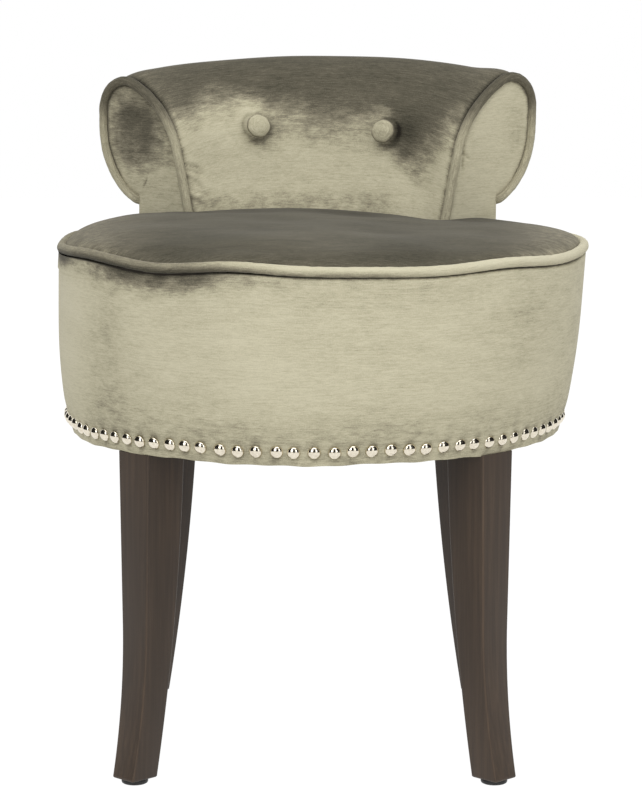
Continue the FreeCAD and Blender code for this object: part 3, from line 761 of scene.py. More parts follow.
# %% Inside back
def make_inside_back():
    """The section carried round the back and pushed along its normals, except near the deck,
    then closed behind along the rail and the liner. Each button pulls the face in and draws a
    crease above itself."""
    path, face_count = over_the_roll()
    section = under_the_roll(path, BOARD_R).points()
    lean = section[:, 2]
    inner_face = lean < 95
    lifted = np.clip(np.arange(len(section)) / (face_count - 1), 0, 1)
    across = np.linspace(-1, 1, 300)[:, None]
    angle = to_the_ends(across, section[:, 0], END_DEPTH)
    rise = back_rise(angle)
    height = section[:, 1] + rise * lifted
    points = around(section[:, 0] - rise * LEAN_SLOPE * (1 - lifted), angle, height)
    length = np.radians(angle) * BACK_MEAN_R
    to_edge = (1 - np.abs(across)) * math.radians(BACK_HALF_ANGLE) * ROLL_MEAN_R
    push = 0.8 * MM * slow_waves(length, height, 0.09, 12) * ramp(to_edge, 0, 25 * MM)
    push = push + bells([(-1.6 * MM, 0, 5 * MM), (1.0 * MM, 16 * MM, 12 * MM)], to_edge)
    tucks = end_tucks(length, height) * inner_face
    tone_and_shading = back_tone_and_shading(points[..., 0], points[..., 2], length)
    above = 0.0
    for side in (LEFT, RIGHT):
        aside = length - math.radians(BUTTON_ANGLES[side]) * BACK_MEAN_R
        up = height - BUTTON_Z[side]
        push = push - 6.6 * MM * np.exp(-((np.hypot(aside, up) / (17 * MM)) ** 1.35)) * inner_face
        above = above + crease(aside, up, (1 * MM, 12 * MM), (0, 34 * MM), 2 * MM) * inner_face
        # Painted shadow, highlight and shade round each button.
        tone_and_shading = tone_and_shading + button_shades(aside / MM, up / MM, side) * inner_face
    push = push * np.where(inner_face, ramp(height, DECK_Z + 30 * MM, DECK_Z + 50 * MM), 1.0)
    push = push - 1.6 * MM * tucks - 0.9 * MM * above
    points = points + grid_normals(points) * push[..., None]
    # Painted shade in the groove along both ends, beside the piping, and in the tucks.
    tone_and_shading = tone_and_shading - 0.36 * bump(to_edge, 0, 3.6 * MM) - 0.13 * np.clip(tucks, 0, 1)
    # The roll's outer side: painted sheen, dark where it faces up and paler lower down, and painted shade
    # where it turns in under the roll.
    outer_tone_and_shading = 0.27 + 0.16 * ramp(-height, -600 * MM, -530 * MM) - 0.2 * ramp(lean, 186, 200)
    tone_and_shading = tone_and_shading + (outer_tone_and_shading - tone_and_shading) * ramp(lean, 75, 115)
    behind = [[BOARD_R, RAIL_LOW], [RAIL_R, RAIL_LOW], [RAIL_R, RAIL_HIGH]]
    behind = np.array(behind + [[LINER_R, RAIL_HIGH], [LINER_R, DECK_Z]])
    behind_angle = to_the_ends(across, behind[:, 0], END_DEPTH)
    points = np.concatenate([points, around(behind[:, 0], behind_angle, behind[:, 1])], axis=1)
    tone_and_shading = np.pad(tone_and_shading, ((0, 0), (0, len(behind))), constant_values=0.3)
    along = across[:, 0] * math.radians(BACK_HALF_ANGLE) * ROLL_MEAN_R + 1.0
    cloth = (along, np.append(run_length(np.concatenate([section[:, :2], behind])), 0.0))
    return make_piece("inside_upholstery", settle_back(points), False, True, "u", cloth, tone_and_shading)


inside_back = finish_piece(make_inside_back(), VELVET, ["inside_back"])

# %% [markdown]
# ## End panels and their piping
# Each end of the back is closed by a flat scroll-shaped panel, padded a little and framed by
# piping. The panel could be a filled curve with a bevel. Here it is the scroll's outline shrunk
# in rings towards a point inside it, each ring a little prouder, which leaves points enough for
# its folds. The piping is a tube along the outline. It ends under the scroll, and from there
# down the panel fills its place to the post's edge.

# %% End panels
PIPING_DEPTH, END_PIPING_R, PANEL_INSET = 1.7 * MM, 4.4 * MM, 5.6 * MM
POST_R = OUTSIDE_R + 1.6 * MM
PANEL_CENTRE = np.array([216 * MM, 556 * MM])
# Each fold's start and end, by radius and height in mm.
END_FOLDS = {
    RIGHT: [
        ((192, 558), (189, 524)), ((198, 590), (212, 596)),
        ((203, 600), (219, 603)), ((188, 545), (200, 538)),
    ],
    LEFT: [((166, 500), (182, 512)), ((222, 520), (230, 508)), ((196, 586), (206, 575))],
}


def in_end_plane(points, depth, side):
    """Places (radius, height) points in an end's plane, sunk by a depth into the back."""
    turn = math.radians(BACK_HALF_ANGLE)
    radius, height = points[..., 0], points[..., 1]
    x = radius * math.sin(turn) - depth * math.cos(turn)
    y = AXIS_Y + radius * math.cos(turn) + depth * math.sin(turn)
    return settle_back(np.stack([side * x, y, height], axis=-1))


def evenly(points, count):
    """The same closed line with its points at equal distances."""
    loop = np.concatenate([points, points[:1]])
    along = run_length(loop)
    place = np.linspace(0, along[-1], count, endpoint=False)
    return np.stack([np.interp(place, along, loop[:, k]) for k in range(2)], axis=-1)


def end_tone_and_shading(side, radius, height, shrink):
    """The left panel is darker in an oval, the right one is pale. Both have painted shade in the
    groove beside the piping, and hardly any on the post below it."""
    r, z = radius / MM, height / MM
    rough = patchy(radius, height, 71 + side)
    if side == LEFT:
        oval = np.exp(-(((r - 236) / 30) ** 2 + ((z - 568) / 42) ** 2) ** 1.5)
        value = 0.56 - 0.30 * oval * rough + 0.15 * ramp(-z, -545, -522)
    else:
        value = 0.77 - 0.10 * bump(z, 560, 22) * bump(r, 262, 14) * rough
    on_post = ramp(r, OUTSIDE_R / MM - 16, OUTSIDE_R / MM - 8) * ramp(-z, -522, -512)
    # Painted shade in the groove beside the piping, little of it on the post.
    return value - 0.40 * ramp(shrink, 0.93, 1.0) * (1 - 0.85 * on_post)


def make_end_panel(side, name):
    """Rings centre + (outline - centre) * shrink. They rise as 1 - shrink^6, less at the folds,
    and the first one is the panel's edge inside the back."""
    path, _ = over_the_roll(PANEL_INSET)
    under_the_roll(path, POST_R).line_to([POST_R, DECK_Z])
    outline = evenly(path.points()[:, :2], 260)
    shrink = np.concatenate([[1.0, 1.0], np.linspace(0.985, 0.03, 30)])
    rings = PANEL_CENTRE + (outline[:, None] - PANEL_CENTRE) * shrink[:, None]
    radius, height = rings[..., 0], rings[..., 1]
    folded = sum(crease(radius / MM, height / MM, start, end, 1.4) for start, end in END_FOLDS[side])
    depth = 2.4 * MM * shrink**6 - 0.25 * MM * slow_waves(radius, height, 0.05, 31 + side)
    depth = depth + 0.9 * MM * folded
    depth[:, 0] = 7.4 * MM
    # Painted shade in the folds.
    tone_and_shading = end_tone_and_shading(side, radius, height, shrink) - 0.15 * np.clip(folded, 0, 1)
    return make_piece(name, in_end_plane(rings, depth, side), True, False, "v", rings + 3.0, tone_and_shading)


# %% End piping
def end_piping_tone_and_shading(points, outward):
    """Painted sheen: dark where the piping runs over the roll and where it faces up, paler down its sides."""
    high = ramp(points[..., 2], 560 * MM, 600 * MM)
    return 0.60 - 0.30 * high - 0.08 * ramp(outward[..., 2], 0.2, 0.9)


def make_end_piping(side, name):
    """A tube on the outline. Its last part dives into the back, where the real one is sewn in."""
    path, _ = over_the_roll(PIPING_DEPTH)
    rows = under_the_roll(path, OUTSIDE_R - 8 * MM).points()
    dive = ramp(-rows[:, 0], -(OUTSIDE_R + 5 * MM), -(OUTSIDE_R - 4 * MM)) * (rows[:, 2] > 180)
    middle = in_end_plane(rows, PIPING_DEPTH + 8 * MM * dive, side)
    lean = np.radians(rows[:, 2])
    origin = in_end_plane(np.zeros(2), 0.0, side)
    outward = in_end_plane(np.column_stack([-np.cos(lean), np.sin(lean)]), 0.0, side) - origin
    away = np.broadcast_to(in_end_plane(np.zeros(2), -1.0, side) - origin, outward.shape)
    return tube(name, middle, outward, away, END_PIPING_R, False, end_piping_tone_and_shading, 40 + side)


for side, word in ((RIGHT, "right"), (LEFT, "left")):
    panel = make_end_panel(side, f"end_upholstery_{word}")
    finish_piece(panel, VELVET, [f"end_panel_{word}"])
    cord_cover = make_end_piping(side, f"end_welt_{word}")
    finish_piece(cord_cover, WELT_VELVET, [f"end_piping_{word}"])

# %% [markdown]
# ## The seat cushion
# The cushion is a round crown with a rounded shoulder down to the piping, and a notch where the
# back stands on the deck. A boolean cut would leave a ragged edge there. Seen from above its
# outline is a circle with a bite, and every point of it can be seen from the axis, so the top is
# that outline shrunk in rings. Each point's height comes from its true distance to the axis, so
# the crown keeps its round form. It dips where it is pressed against the back, and where it has
# been sat on.

# %% Cushion form
CUSHION_R = WELT_R - PIPING_R + 1.0 * MM
SOFT_GAP = 0.4 * MM
NOTCH_PLANE = -3.1 * MM   # how far the notch's side walls stand outside the back's end planes


def crown_height(radius):
    """From the edge beside the piping, the rise times (1 - (radius / edge radius)^6.5)^0.7: nearly
    flat in the middle, round at the shoulder and steep at the edge."""
    share = np.clip(radius / CUSHION_R, 0, 1)
    edge = WELT_Z + 2.8 * MM
    return edge + (CROWN_Z - edge) * (1 - share**6.5) ** 0.7


def crown_sink(x, behind, radius):
    """Where the seat has been sat down: lower towards the back and towards the sitter's left."""
    low = 4.4 * MM * ramp(behind, 0.0, 120 * MM) + 6.6 * MM * ramp(x, -45 * MM, 115 * MM)
    low = low + 2.6 * MM * ramp(x, 70 * MM, 120 * MM) * ramp(behind, 0.0, 70 * MM)
    return low * (1 - np.clip(radius / CUSHION_R, 0, 1) ** 6)


def cushion_outline(height):
    """The outline seen from above at a height: radius, angle from the rear round the seat, and
    whether it is in the notch. The notch has the back's face as its rear and two side walls."""
    face_r = BACK_BASE_R + (height - DECK_Z) * LEAN_SLOPE - SOFT_GAP
    corner = BACK_HALF_ANGLE - math.degrees(math.asin(NOTCH_PLANE / face_r))
    rear = np.linspace(-corner, corner, 120)
    near_corner = ramp(np.abs(rear), corner - 3.6, corner - 0.6)
    rear_r = face_r - back_rise(rear) * LEAN_SLOPE - 2.7 * MM * near_corner
    wall_r = np.linspace(rear_r[-1], CUSHION_R, 26)[1:-1]
    wall = BACK_HALF_ANGLE - np.degrees(np.arcsin(NOTCH_PLANE / wall_r))
    edge = BACK_HALF_ANGLE - math.degrees(math.asin(NOTCH_PLANE / CUSHION_R))
    front = np.linspace(edge, 360 - edge, 360)
    angle = np.concatenate([rear, wall, front, 360 - wall[::-1]])
    radius = np.concatenate([rear_r, wall_r, np.full(len(front), CUSHION_R), wall_r[::-1]])
    notch = np.concatenate([np.ones(len(rear) + len(wall)), np.zeros(len(front)), np.ones(len(wall))])
    return radius[:, None], angle[:, None], notch[:, None]


def seat_tone_and_shading(x, y, radius):
    """The seat is dark, from the lie of its pile and painted sheen where the cloth faces up, a
    little paler towards both sides, the front edge and the rim, where the crown turns down, and
    darkest before the back."""
    value = 0.155 + 0.02 * slow_waves(x, y, 0.14, 17)
    value = value + 0.22 * ramp(-x, 120 * MM, 220 * MM) + 0.24 * ramp(x, 150 * MM, 225 * MM)
    value = value + 0.035 * ramp(AXIS_Y - y, 60 * MM, 200 * MM) - 0.09 * ramp(y - AXIS_Y, 0.0, 120 * MM)
    return value + 0.05 * ramp(radius, CUSHION_R - 8 * MM, CUSHION_R)


# %% Cushion
def make_cushion():
    """The top in rings, then its wall from the top's edge down to the deck."""
    top_r, top_angle, notch = cushion_outline(CROWN_Z - 4 * MM)
    low_r, low_angle, _ = cushion_outline(DECK_Z)
    radius = top_r * (1 - (1 - np.linspace(0.012, 1, 64)) ** 1.5)
    x, behind = radius * np.sin(np.radians(top_angle)), radius * np.cos(np.radians(top_angle))
    to_wall = top_r - radius
    press = 3.0 * MM * np.exp(-to_wall / (6 * MM)) * notch
    soft = 0.7 * MM * slow_waves(x, behind, 0.10, 19) * ramp(to_wall, 0, 40 * MM)
    lift = welt_wave(top_angle) * ramp(radius, CUSHION_R - 22 * MM, CUSHION_R) * (1 - notch)
    height = crown_height(radius) - press + soft + lift - crown_sink(x, behind, radius)
    top = set_aside(around(radius, top_angle, height))
    down = np.linspace(0, 1, 8)[1:]
    wall_r = top_r + (low_r - top_r) * down - 1.2 * MM * (1 - notch) * ramp(down, 0, 0.2)
    wall_z = height[:, -1:] + (DECK_Z + 0.2 * MM - height[:, -1:]) * down
    wall = set_aside(around(wall_r, top_angle + (low_angle - top_angle) * down, wall_z))
    points = np.concatenate([top, wall], axis=1)
    tone_and_shading = np.pad(seat_tone_and_shading(top[..., 0], top[..., 1], radius), ((0, 0), (0, 7)), constant_values=0.2)
    spread = 1 + 0.25 * ramp(radius, CUSHION_R * 0.8, CUSHION_R)
    cloth = points[..., :2] * np.pad(spread, ((0, 0), (0, 7)), "edge")[..., None] + 5.0
    return make_piece("seat_upholstery", points, True, False, "v", cloth, tone_and_shading)


cushion = finish_piece(make_cushion(), VELVET, ["seat_cushion"])

# %% [markdown]
# ## The outside back
# Behind, a plain padded panel runs from the seat up under the roll. A bent plane with a solidify
# modifier would be close, but its top has to follow the roll's rise. So it is a shell between
# the outer board and the velvet's face, bowed a little by its wadding.

# %% Outside back
def make_outside_back():
    """A face with a bow of sines, and two rows behind it on the board. Both end under the roll,
    at the height that the circle of the roll's underside has at their radius."""
    tip_r, tip_z = over_the_roll()[0].end
    across = np.linspace(-1, 1, 200)[:, None]
    share = np.linspace(0, 1, 36)
    angle = to_the_ends(across, OUTSIDE_R, 6.3 * MM)
    top, top_behind = (
        tip_z - math.sqrt(UNDER_R**2 - (radius - tip_r + UNDER_R) ** 2) + back_rise(angle) - 0.5 * MM
        for radius in (OUTSIDE_R, BOARD_R)
    )
    height = DECK_Z + (top - DECK_Z) * share
    swell = np.sin(math.pi * share)
    bow = 1.6 * MM * swell**0.8 * np.cos(across * math.pi / 2) ** 0.5
    bow = bow + 0.4 * MM * slow_waves(np.radians(angle) * OUTSIDE_R, height, 0.08, 23) * swell
    corner = 2.6 * MM * ramp(np.abs(across), 0.9, 1.0)
    face = around(OUTSIDE_R - 1.8 * MM + bow + corner, angle, height)
    behind = around(BOARD_R, angle, np.concatenate([top_behind, np.full_like(top, DECK_Z)], axis=1))
    points = settle_back(np.concatenate([face, behind], axis=1))
    tone_and_shading = 0.66 + 0.05 * slow_waves(angle / 40, height * 9, 1.2, 4)
    tone_and_shading = np.pad(tone_and_shading, ((0, 0), (0, 2)), constant_values=0.3)
    cloth = (across[:, 0] * 0.2 + 7.0, np.append(share * 60 * MM, [0.07, 0.1, 0.16]))
    return make_piece("outside_upholstery", points, False, True, "u", cloth, tone_and_shading)


outside_back = finish_piece(make_outside_back(), VELVET, ["outside_back"])

# %% [markdown]
# ## Buttons
# A covered button is a disc of metal with velvet pulled over it: a short rim, a domed top and
# small folds at its edge. A squashed sphere would have no rim. So it is a section turned round
# the button's own axis, which stands square to the face where the cloth is pulled in.

# %% Buttons
CAD_BUTTON_ANGLE, CAD_BUTTON_REACH = 20.5, 16 * MM   # the box goes this far past their middles
BUTTON_X = (button_high.x - button_low.x) / 2 - CAD_BUTTON_REACH
BUTTON_RING_R = BUTTON_X / math.sin(math.radians(CAD_BUTTON_ANGLE))
# Each button's tone, the right one darker with painted shade.
BUTTON_TONE_AND_SHADING = {LEFT: 0.70, RIGHT: 0.65}


def turned(section, count, middle, normal, side, wobble=1.0):
    """A section turned round an axis, or round a row of them: middle + (side cos t + across
    sin t) * radius + normal * height, where across is normal x side."""
    middle, normal, side = (np.asarray(v)[..., None, None, :] for v in (middle, normal, side))
    turn = full_turn(count)[:, None, None]
    circle = side * np.cos(turn) + np.cross(normal, side) * np.sin(turn)
    return middle + circle * section[:, :1] * wobble + normal * section[:, 1:]


def make_button(name, side):
    """A dome of radius 11.6 sin t and height 4.4 cos^1.3 t, in mm, whose outline wavers."""
    lean = math.radians(BACK_LEAN + 5)
    normal = UP * math.sin(lean) - direction(BUTTON_ANGLES[side]) * math.cos(lean)
    level = np.cross(normal, UP)
    t = np.linspace(0, math.pi / 2, 14)[1:]
    dome = np.column_stack([11.6 * np.sin(t), 4.4 * np.cos(t) ** 1.3])
    section = np.concatenate([[[0.4, 4.45]], dome, [[11.7, -1.0], [11.0, -2.0], [0.4, -2.0]]]) * MM
    turn = full_turn(48)[:, None, None]
    wobble = 1 + 0.012 * np.sin(turn * 7) + 0.01 * np.sin(turn * 4 + 1)
    middle = around(BUTTON_RING_R, BUTTON_ANGLES[side], BUTTON_Z[side])
    points = turned(section, 48, middle, normal, level / np.linalg.norm(level), wobble)
    # Painted shade round the button's rim, where it meets the cloth.
    tone_and_shading = BUTTON_TONE_AND_SHADING[side] - 0.3 * ramp(section[:, 0] / (11.6 * MM), 0.9, 1.0)
    cloth = (np.linspace(0, 0.07, 49) + 9 + side, run_length(section))
    tone_and_shading = np.broadcast_to(tone_and_shading, points.shape[:2])
    return make_piece(name, settle_back(points), True, False, "v", cloth, tone_and_shading)


finish_piece(make_button("button_left", LEFT), VELVET, ["back_buttons"])
finish_piece(make_button("button_right", RIGHT), VELVET)

# %% [markdown]
# ## Nailheads
# Polished domed nails stand in a close row above the hem. Each is the same small turned dome,
# square to the side where it sits. Instances would save memory, but real nails are each driven
# a little differently. So they are one mesh, made by placing one dome's points at every nail's
# own axis at once.

# %% Finish with a grain
def grained(name, scale, dark, pale, roughness=0.7, metallic=0.0, detail=(4.0, 0.6), stops=(0.35, 0.65)):
    """A finish mixed from two colours by stretched noise on the object's own coordinates."""
    material, tree, shader = node_tree(name)
    place = tree.nodes.new("ShaderNodeTexCoord").outputs["Object"]
    cloud = noise(tree, place, scale, *detail)
    paint(tree, shader, cloud, list(zip(stops, (srgb(*dark), srgb(*pale)))))
    set_shader(shader, roughness=roughness, metallic=metallic)
    return material


SOFT_CLOUD = {"detail": (2.0, 0.55), "stops": (0.3, 0.7)}

# %% Nailheads
def make_nailheads():
    """Domes of radius 6 sin t and height 4.4 cos t, in mm. Their axes lean as the side does at
    their height, on the arc above the hem, and each stands off a little by chance."""
    t = np.linspace(0, math.pi / 2, 8)
    dome = np.column_stack([6.0 * np.sin(t), 4.4 * np.cos(t)])
    dome[0, 0] = 0.25
    section = np.concatenate([dome, [[5.7, -0.5], [0.3, -0.5]]]) * MM
    hem_lean = math.radians(HEM_LEAN)
    lean = hem_lean - NAIL_RISE / LOWER_R
    radius = HEM_R + LOWER_R * (math.cos(lean) - math.cos(hem_lean)) - 1.3 * MM
    height = HEM_Z + LOWER_R * (math.sin(hem_lean) - math.sin(lean))
    chooser = np.random.default_rng(7)
    angle = np.arange(NAIL_COUNT) * 360 / NAIL_COUNT + np.clip(chooser.normal(0, 0.18, NAIL_COUNT), -0.5, 0.5)
    height = height + hem_wave(angle) * 0.8 + chooser.normal(0, 0.2 * MM, NAIL_COUNT)
    tip = chooser.normal(0, 0.05, (NAIL_COUNT, 2))
    across = direction(angle + 90)
    normal = direction(angle) * math.cos(lean) + across * tip[:, :1] + UP * (tip[:, 1:] - math.sin(lean))
    normal = normal / np.linalg.norm(normal, axis=1, keepdims=True)
    points = turned(section, 18, around(radius, angle, height), normal, across)
    cells, _, _, caps = shell_faces(points[0], True, False, "v")
    first_point = np.arange(NAIL_COUNT)[:, None, None] * 18 * len(section)
    faces = []
    for part in [cells] + [cap[None, :] for cap in caps]:
        faces += (part + first_point).reshape(-1, part.shape[1]).tolist()
    return add_mesh("nailhead_trim", points.reshape(-1, 3), faces, 50)


NICKEL_COLOURS = (214, 205, 186), (236, 228, 210)
NAIL_METAL = grained("polished nickel", (500, 500, 500), *NICKEL_COLOURS, 0.12, 1.0, **SOFT_CLOUD)
finish_piece(make_nailheads(), NAIL_METAL, ["nailheads"])

# %% [markdown]
# ## Sabre legs
# Each leg is sawn from a plank: straight outside, then kicked out over its lower half, hollow
# inside, and tapered. An extruded side view with a bevel is the quick way, but the taper and the
# worn corners, lightened also as a painted highlight, want a grid, so a rounded rectangle is
# carried down the leg. The stain is a dark espresso under a satin lacquer, with the grain running
# along the leg.

# %% Leg wood
def leg_wood():
    """A sum of grain, slow clouds and wear with a painted highlight on the corners, through a ramp of stain
    colours, with open pores.
    """
    material, tree, shader = node_tree("espresso wood")
    place = tree.nodes.new("ShaderNodeTexCoord").outputs["Object"]
    grain = noise(tree, place, (260, 260, 9), 4.0, 0.6)
    pores = noise(tree, place, (900, 900, 30), 2.0, 0.5)
    cloud = noise(tree, place, (14, 14, 5), 2.0, 0.5)
    # The worn value lightens the corners: wear, and a painted highlight along them.
    shares = ((grain, 0.55), (cloud, 0.45), (point_value(tree, "worn"), 0.12))
    grain, cloud, worn = (combined(tree, "MULTIPLY", source, share) for source, share in shares)
    total = combined(tree, "ADD", combined(tree, "ADD", grain, cloud), worn)
    stain = [(0.3, srgb(50, 39, 29)), (0.5, srgb(62, 49, 37)), (0.7, srgb(78, 62, 47))]
    paint(tree, shader, total, stain + [(1.0, srgb(140, 118, 96))])
    add_relief(tree, shader, pores, 0.12, 0.2 * MM)
    set_shader(shader, roughness=0.42, specular_ior_level=0.4)
    return material


# %% Legs
LEG_TOP, LEG_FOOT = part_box("leg_front_left")[1].z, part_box("leg_front_left")[0].z
LEG_OUTER = FRAME_R + 6.5 * MM
LEG_DEPTH, LEG_WIDTH = (44 * MM, 30 * MM), (39.4 * MM, 28 * MM)   # at the top and at the foot
KICK, KICK_HEIGHT, HOLLOW = 15.5 * MM, 140 * MM, 6 * MM
CORNER_R = 2.0 * MM
# Angle from the rear, and how far the hand-fitted leg's top and foot stand aside, towards +X.
LEGS = {
    "rear_right": (45, -2.2 * MM, 5.0 * MM),
    "front_right": (135, 1.6 * MM, 0.0),
    "front_left": (225, 0.6 * MM, 0.0),
    "rear_left": (315, 2.2 * MM, -5.0 * MM),
}


def leg_section(height):
    """Outer and inner distance from the seat axis, and half the width, at a height. The kick is
    an arc, and the inner face a parabola hollowed out of its chord."""
    sweep = (KICK**2 + KICK_HEIGHT**2) / (2 * KICK)
    below = np.clip(LEG_FOOT + KICK_HEIGHT - height, 0, None)
    outer = LEG_OUTER + sweep - np.sqrt(sweep**2 - below**2)
    share = (LEG_TOP - height) / (LEG_TOP - LEG_FOOT)
    chord = (LEG_OUTER - LEG_DEPTH[0]) * (1 - share) + (LEG_OUTER + KICK - LEG_DEPTH[1]) * share
    inner = chord - HOLLOW * 4 * share * (1 - share)
    return outer, inner, (LEG_WIDTH[0] * (1 - share) + LEG_WIDTH[1] * share) / 2


def make_leg(name, azimuth, top_aside, foot_aside):
    """Four rounded corners of six points each, at every height. The lowest two rows are smaller,
    which rounds the foot's edge, and the middles of the corners are lighter: wear, and a painted
    highlight along them."""
    height = LEG_FOOT + np.concatenate([[0, 0.4, 1.2], np.linspace(2.5, 292.5, 90), [294.2, 295.0]]) * MM
    outer, inner, half_width = leg_section(height)
    half_depth = (outer - inner) / 2
    shrink = np.append([1.4 * MM, 0.5 * MM], np.zeros(len(height) - 2))
    turns = np.radians(np.add.outer(np.arange(4) * 90, np.linspace(0, 90, 6))).reshape(-1, 1)
    sign_d = np.repeat([1, -1, -1, 1], 6)[:, None]
    sign_w = np.repeat([1, 1, -1, -1], 6)[:, None]
    radial = (outer + inner) / 2 + sign_d * (half_depth - shrink - CORNER_R) + CORNER_R * np.cos(turns)
    across = sign_w * (half_width - shrink - CORNER_R) + CORNER_R * np.sin(turns)
    points = radial[..., None] * direction(azimuth) + across[..., None] * direction(azimuth + 90)
    points = points + [0, AXIS_Y, 0] + height[:, None] * UP
    share = (height - LEG_FOOT) / (LEG_TOP - LEG_FOOT)
    points[..., 0] += top_aside * share + foot_aside * (1 - share)
    # Lighter corner middles: wear, and a painted highlight along the arrises.
    worn = np.broadcast_to(np.isin(np.arange(24) % 6, (2, 3))[:, None], radial.shape)
    return make_piece(name, points, True, False, "v", tone_and_shading=worn, value="worn")


LEG_WOOD = leg_wood()
for word, place in LEGS.items():
    finish_piece(make_leg(f"turned_out_leg_{word}", *place), LEG_WOOD, [f"leg_{word}"])

# %% [markdown]
# ## Glides
# Under each foot a round black glide keeps the wood off the floor. A bevelled cylinder would do
# as well. It is a small section with a rounded lower edge, turned as the buttons are.

# %% Glides
GLIDE_PLASTIC = grained("black glide", (600, 600, 600), (12, 11, 10), (26, 24, 22), 0.5, **SOFT_CLOUD)
GLIDE_CIRCLE = LEG_OUTER + KICK - LEG_DEPTH[1] / 2
# Radius and height in mm, up the rounded edge.
GLIDE_SECTION = [
    (0.4, 0), (8.5, 0), (10.4, 0.25), (11.5, 0.9), (12, 1.9),
    (12, 4.2), (11.6, 4.8), (11.2, 4.95), (0.4, 4.95),
]


def make_glide(name, azimuth, foot_aside):
    """The glide's section turned round an upright axis under the foot."""
    middle = around(GLIDE_CIRCLE, azimuth, 0.0) + [foot_aside, 0, 0]
    points = turned(np.array(GLIDE_SECTION) * MM, 40, middle, UP, (1.0, 0.0, 0.0))
    return make_piece(name, points, True, False, "v")


for word, (azimuth, _, foot_aside) in LEGS.items():
    replaced = ["glides"] if word == "rear_right" else []
    finish_piece(make_glide(f"foot_glide_{word}", azimuth, foot_aside), GLIDE_PLASTIC, replaced)

# %% [markdown]
# ## The frame inside
# The plywood, the bent boards, the bolts and the cloth under the seat stay as CAD made them,
# since the upholstery hides them. They only get finishes: plywood with its grain, brown
# fibreboard, zinc and a black cloth.

# %% Frame finishes
FRAME_FINISHES = {
    "plywood": grained("plywood", (12, 160, 400), (178, 142, 98), (212, 180, 134)),
    "fibreboard": grained("fibreboard", (90, 90, 90), (128, 98, 66), (154, 124, 88)),
    "dust_cloth": grained("dust cloth", (700, 700, 700), (24, 24, 24), (46, 45, 44), 0.95),
    "steel": grained("zinc", (200, 200, 200), (150, 152, 154), (196, 197, 198), 0.35, 1.0),
}
slots = {part["node"]: part["material_slot"] for part in frame["record"]["subparts"]}
for node, cad_piece in frame["nodes"].items():
    if slots[node] in FRAME_FINISHES:
        cad_piece.data.materials.clear()
        cad_piece.data.materials.append(FRAME_FINISHES[slots[node]])
print("frame pieces finished:", sum(slot in FRAME_FINISHES for slot in slots.values()))

# %% [markdown]
# ## Camera, floor and light
# The photograph was taken from the front, a little above the seat, with a long lens, on a white
# sweep. The floor and the sky show white to the camera and to mirrors, and light the stool at a
# plain level. An image of a studio could light it, but a few lamps are easier to place: a large
# soft one from above and the front models the forms, and weaker ones fill.

# %% Camera
CAMERA_BACK, CAMERA_UP, CAMERA_ASIDE = 2.8, 0.749, 0.0059
PITCH_DOWN, FOCAL_PIXELS, PHOTO_HEIGHT, SENSOR = 8.65, 3030.0, 800.0, 36.0

camera_data = bpy.data.cameras.new("camera")
camera_data.sensor_fit = "VERTICAL"
camera_data.sensor_height = SENSOR
camera_data.lens = SENSOR * FOCAL_PIXELS / PHOTO_HEIGHT
camera = add_object("camera", camera_data)
camera.location = (CAMERA_ASIDE, AXIS_Y - CAMERA_BACK, CAMERA_UP)
camera.rotation_euler = (math.radians(90 - PITCH_DOWN), 0, 0)
bpy.context.scene.camera = camera
print("lens", round(camera_data.lens, 1), "mm")


# %% Floor and sky
FLOOR_HALF, FLOOR_WHITE, FLOOR_SHARE, SKY_LEVEL = 6.0, 1.08, 0.93, 0.55


def seen_directly(tree):
    """1 for the camera's own rays and for those a mirror or a glass sends on, 0 for light."""
    paths = tree.nodes.new("ShaderNodeLightPath")
    seen = combined(tree, "MAXIMUM", paths.outputs["Is Camera Ray"], paths.outputs["Is Glossy Ray"])
    return combined(tree, "MAXIMUM", seen, paths.outputs["Is Transmission Ray"])


def surface(tree, kind, strength=None, colour=(1, 1, 1, 1)):
    """A plain shader node of one colour."""
    node = tree.nodes.new(kind)
    node.inputs["Color"].default_value = colour
    if strength:
        node.inputs["Strength"].default_value = strength
    return node.outputs[0]


def show_mixed(tree, output_kind, share, first, second):
    """The output shows this share of the second shader and the rest of the first."""
    mix = tree.nodes.new("ShaderNodeMixShader")
    for socket, source in zip(mix.inputs, (share, first, second)):
        tree.links.new(source, socket)
    tree.links.new(mix.outputs[0], tree.nodes.new(output_kind).inputs["Surface"])


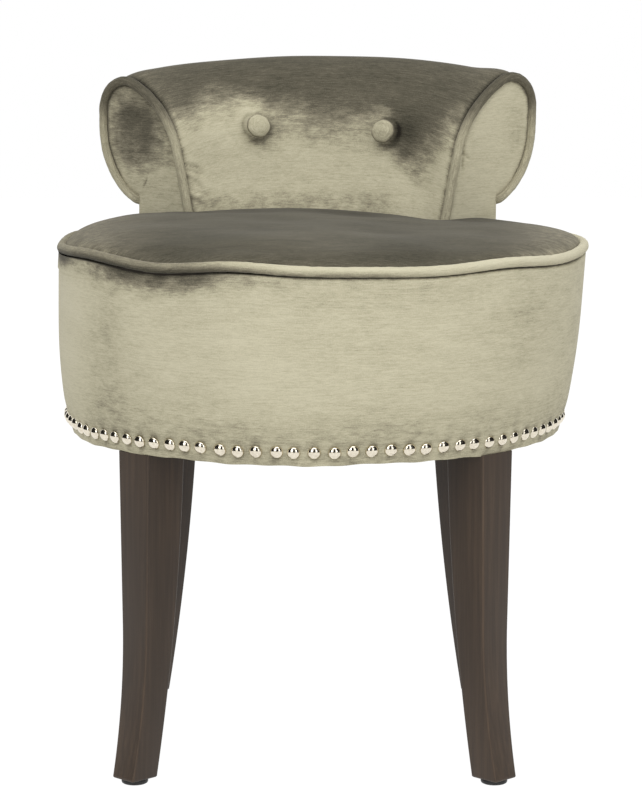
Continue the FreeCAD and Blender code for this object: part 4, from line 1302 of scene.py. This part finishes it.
corners = np.array([(-1, -1, 0), (1, -1, 0), (1, 1, 0), (-1, 1, 0)]) * FLOOR_HALF
floor = add_mesh("floor", corners, [(0, 1, 2, 3)])
floor_finish = bpy.data.materials.new("pale floor")
tree = empty_tree(floor_finish)
lit = surface(tree, "ShaderNodeBsdfDiffuse", colour=(0.8, 0.8, 0.8, 1))
white = surface(tree, "ShaderNodeEmission", FLOOR_WHITE)
seen_share = combined(tree, "MULTIPLY", seen_directly(tree), FLOOR_SHARE)
show_mixed(tree, "ShaderNodeOutputMaterial", seen_share, lit, white)
floor.data.materials.append(floor_finish)

world = bpy.data.worlds.new("studio")
bpy.context.scene.world = world
tree = empty_tree(world)
dim = surface(tree, "ShaderNodeBackground", SKY_LEVEL)
bright = surface(tree, "ShaderNodeBackground", 1.0)
show_mixed(tree, "ShaderNodeOutputWorld", seen_directly(tree), dim, bright)


# %% Lamps
def lamp(name, place, size, power):
    """A square lamp of this size, turned towards the middle of the stool."""
    data = bpy.data.lights.new(name, "AREA")
    data.shape = "RECTANGLE"
    data.size = data.size_y = size
    data.energy = power
    light = add_object(name, data)
    light.location = place
    light.rotation_euler = (Vector((0, 0, 0.4)) - Vector(place)).to_track_quat("-Z", "Y").to_euler()


lamp("softbox above", (0.2, -0.6, 2.6), 2.2, 26)
lamp("softbox front", (-1.3, -2.4, 1.5), 1.6, 22)
lamp("fill", (1.8, -1.8, 1.1), 1.4, 14)

# %% [markdown]
# ## Dark cards
# A polished dome shows its whole surroundings. In a white studio the nails would look flat, so a
# photographer sets up dark cards beside the stool, and their reflections draw the dark lines
# that make metal look like metal. Only mirrors see these cards: the camera, the soft light and
# the shadows pass through them.

# %% Dark cards
def dark_card(name, start, end, low, high, distance):
    """An upright dark strip round the stool between two angles from the rear."""
    angle = np.linspace(start, end, 25)
    points = around(distance, angle, np.array([[low], [high]]))
    card = add_mesh(name, points.reshape(-1, 3), grid_faces(2, 25, False, False)[0].tolist())
    material, _, shader = node_tree(name)
    set_shader(shader, base_color=(0.012, 0.011, 0.01, 1), roughness=1.0)
    card.data.materials.append(material)
    card.visible_camera = card.visible_diffuse = card.visible_shadow = False


dark_card("dark_wall_right", 56, 142, 0.12, 2.4, 1.6)
dark_card("dark_wall_left", 218, 304, 0.12, 2.4, 1.6)
dark_card("dark_post", 166, 193, 0.12, 2.6, 1.6)

# %% [markdown]
# ## The end
# The colours are shown as they are written, through the plain view transform.

# %% Plain view transform
bpy.context.scene.view_settings.view_transform = "Standard"
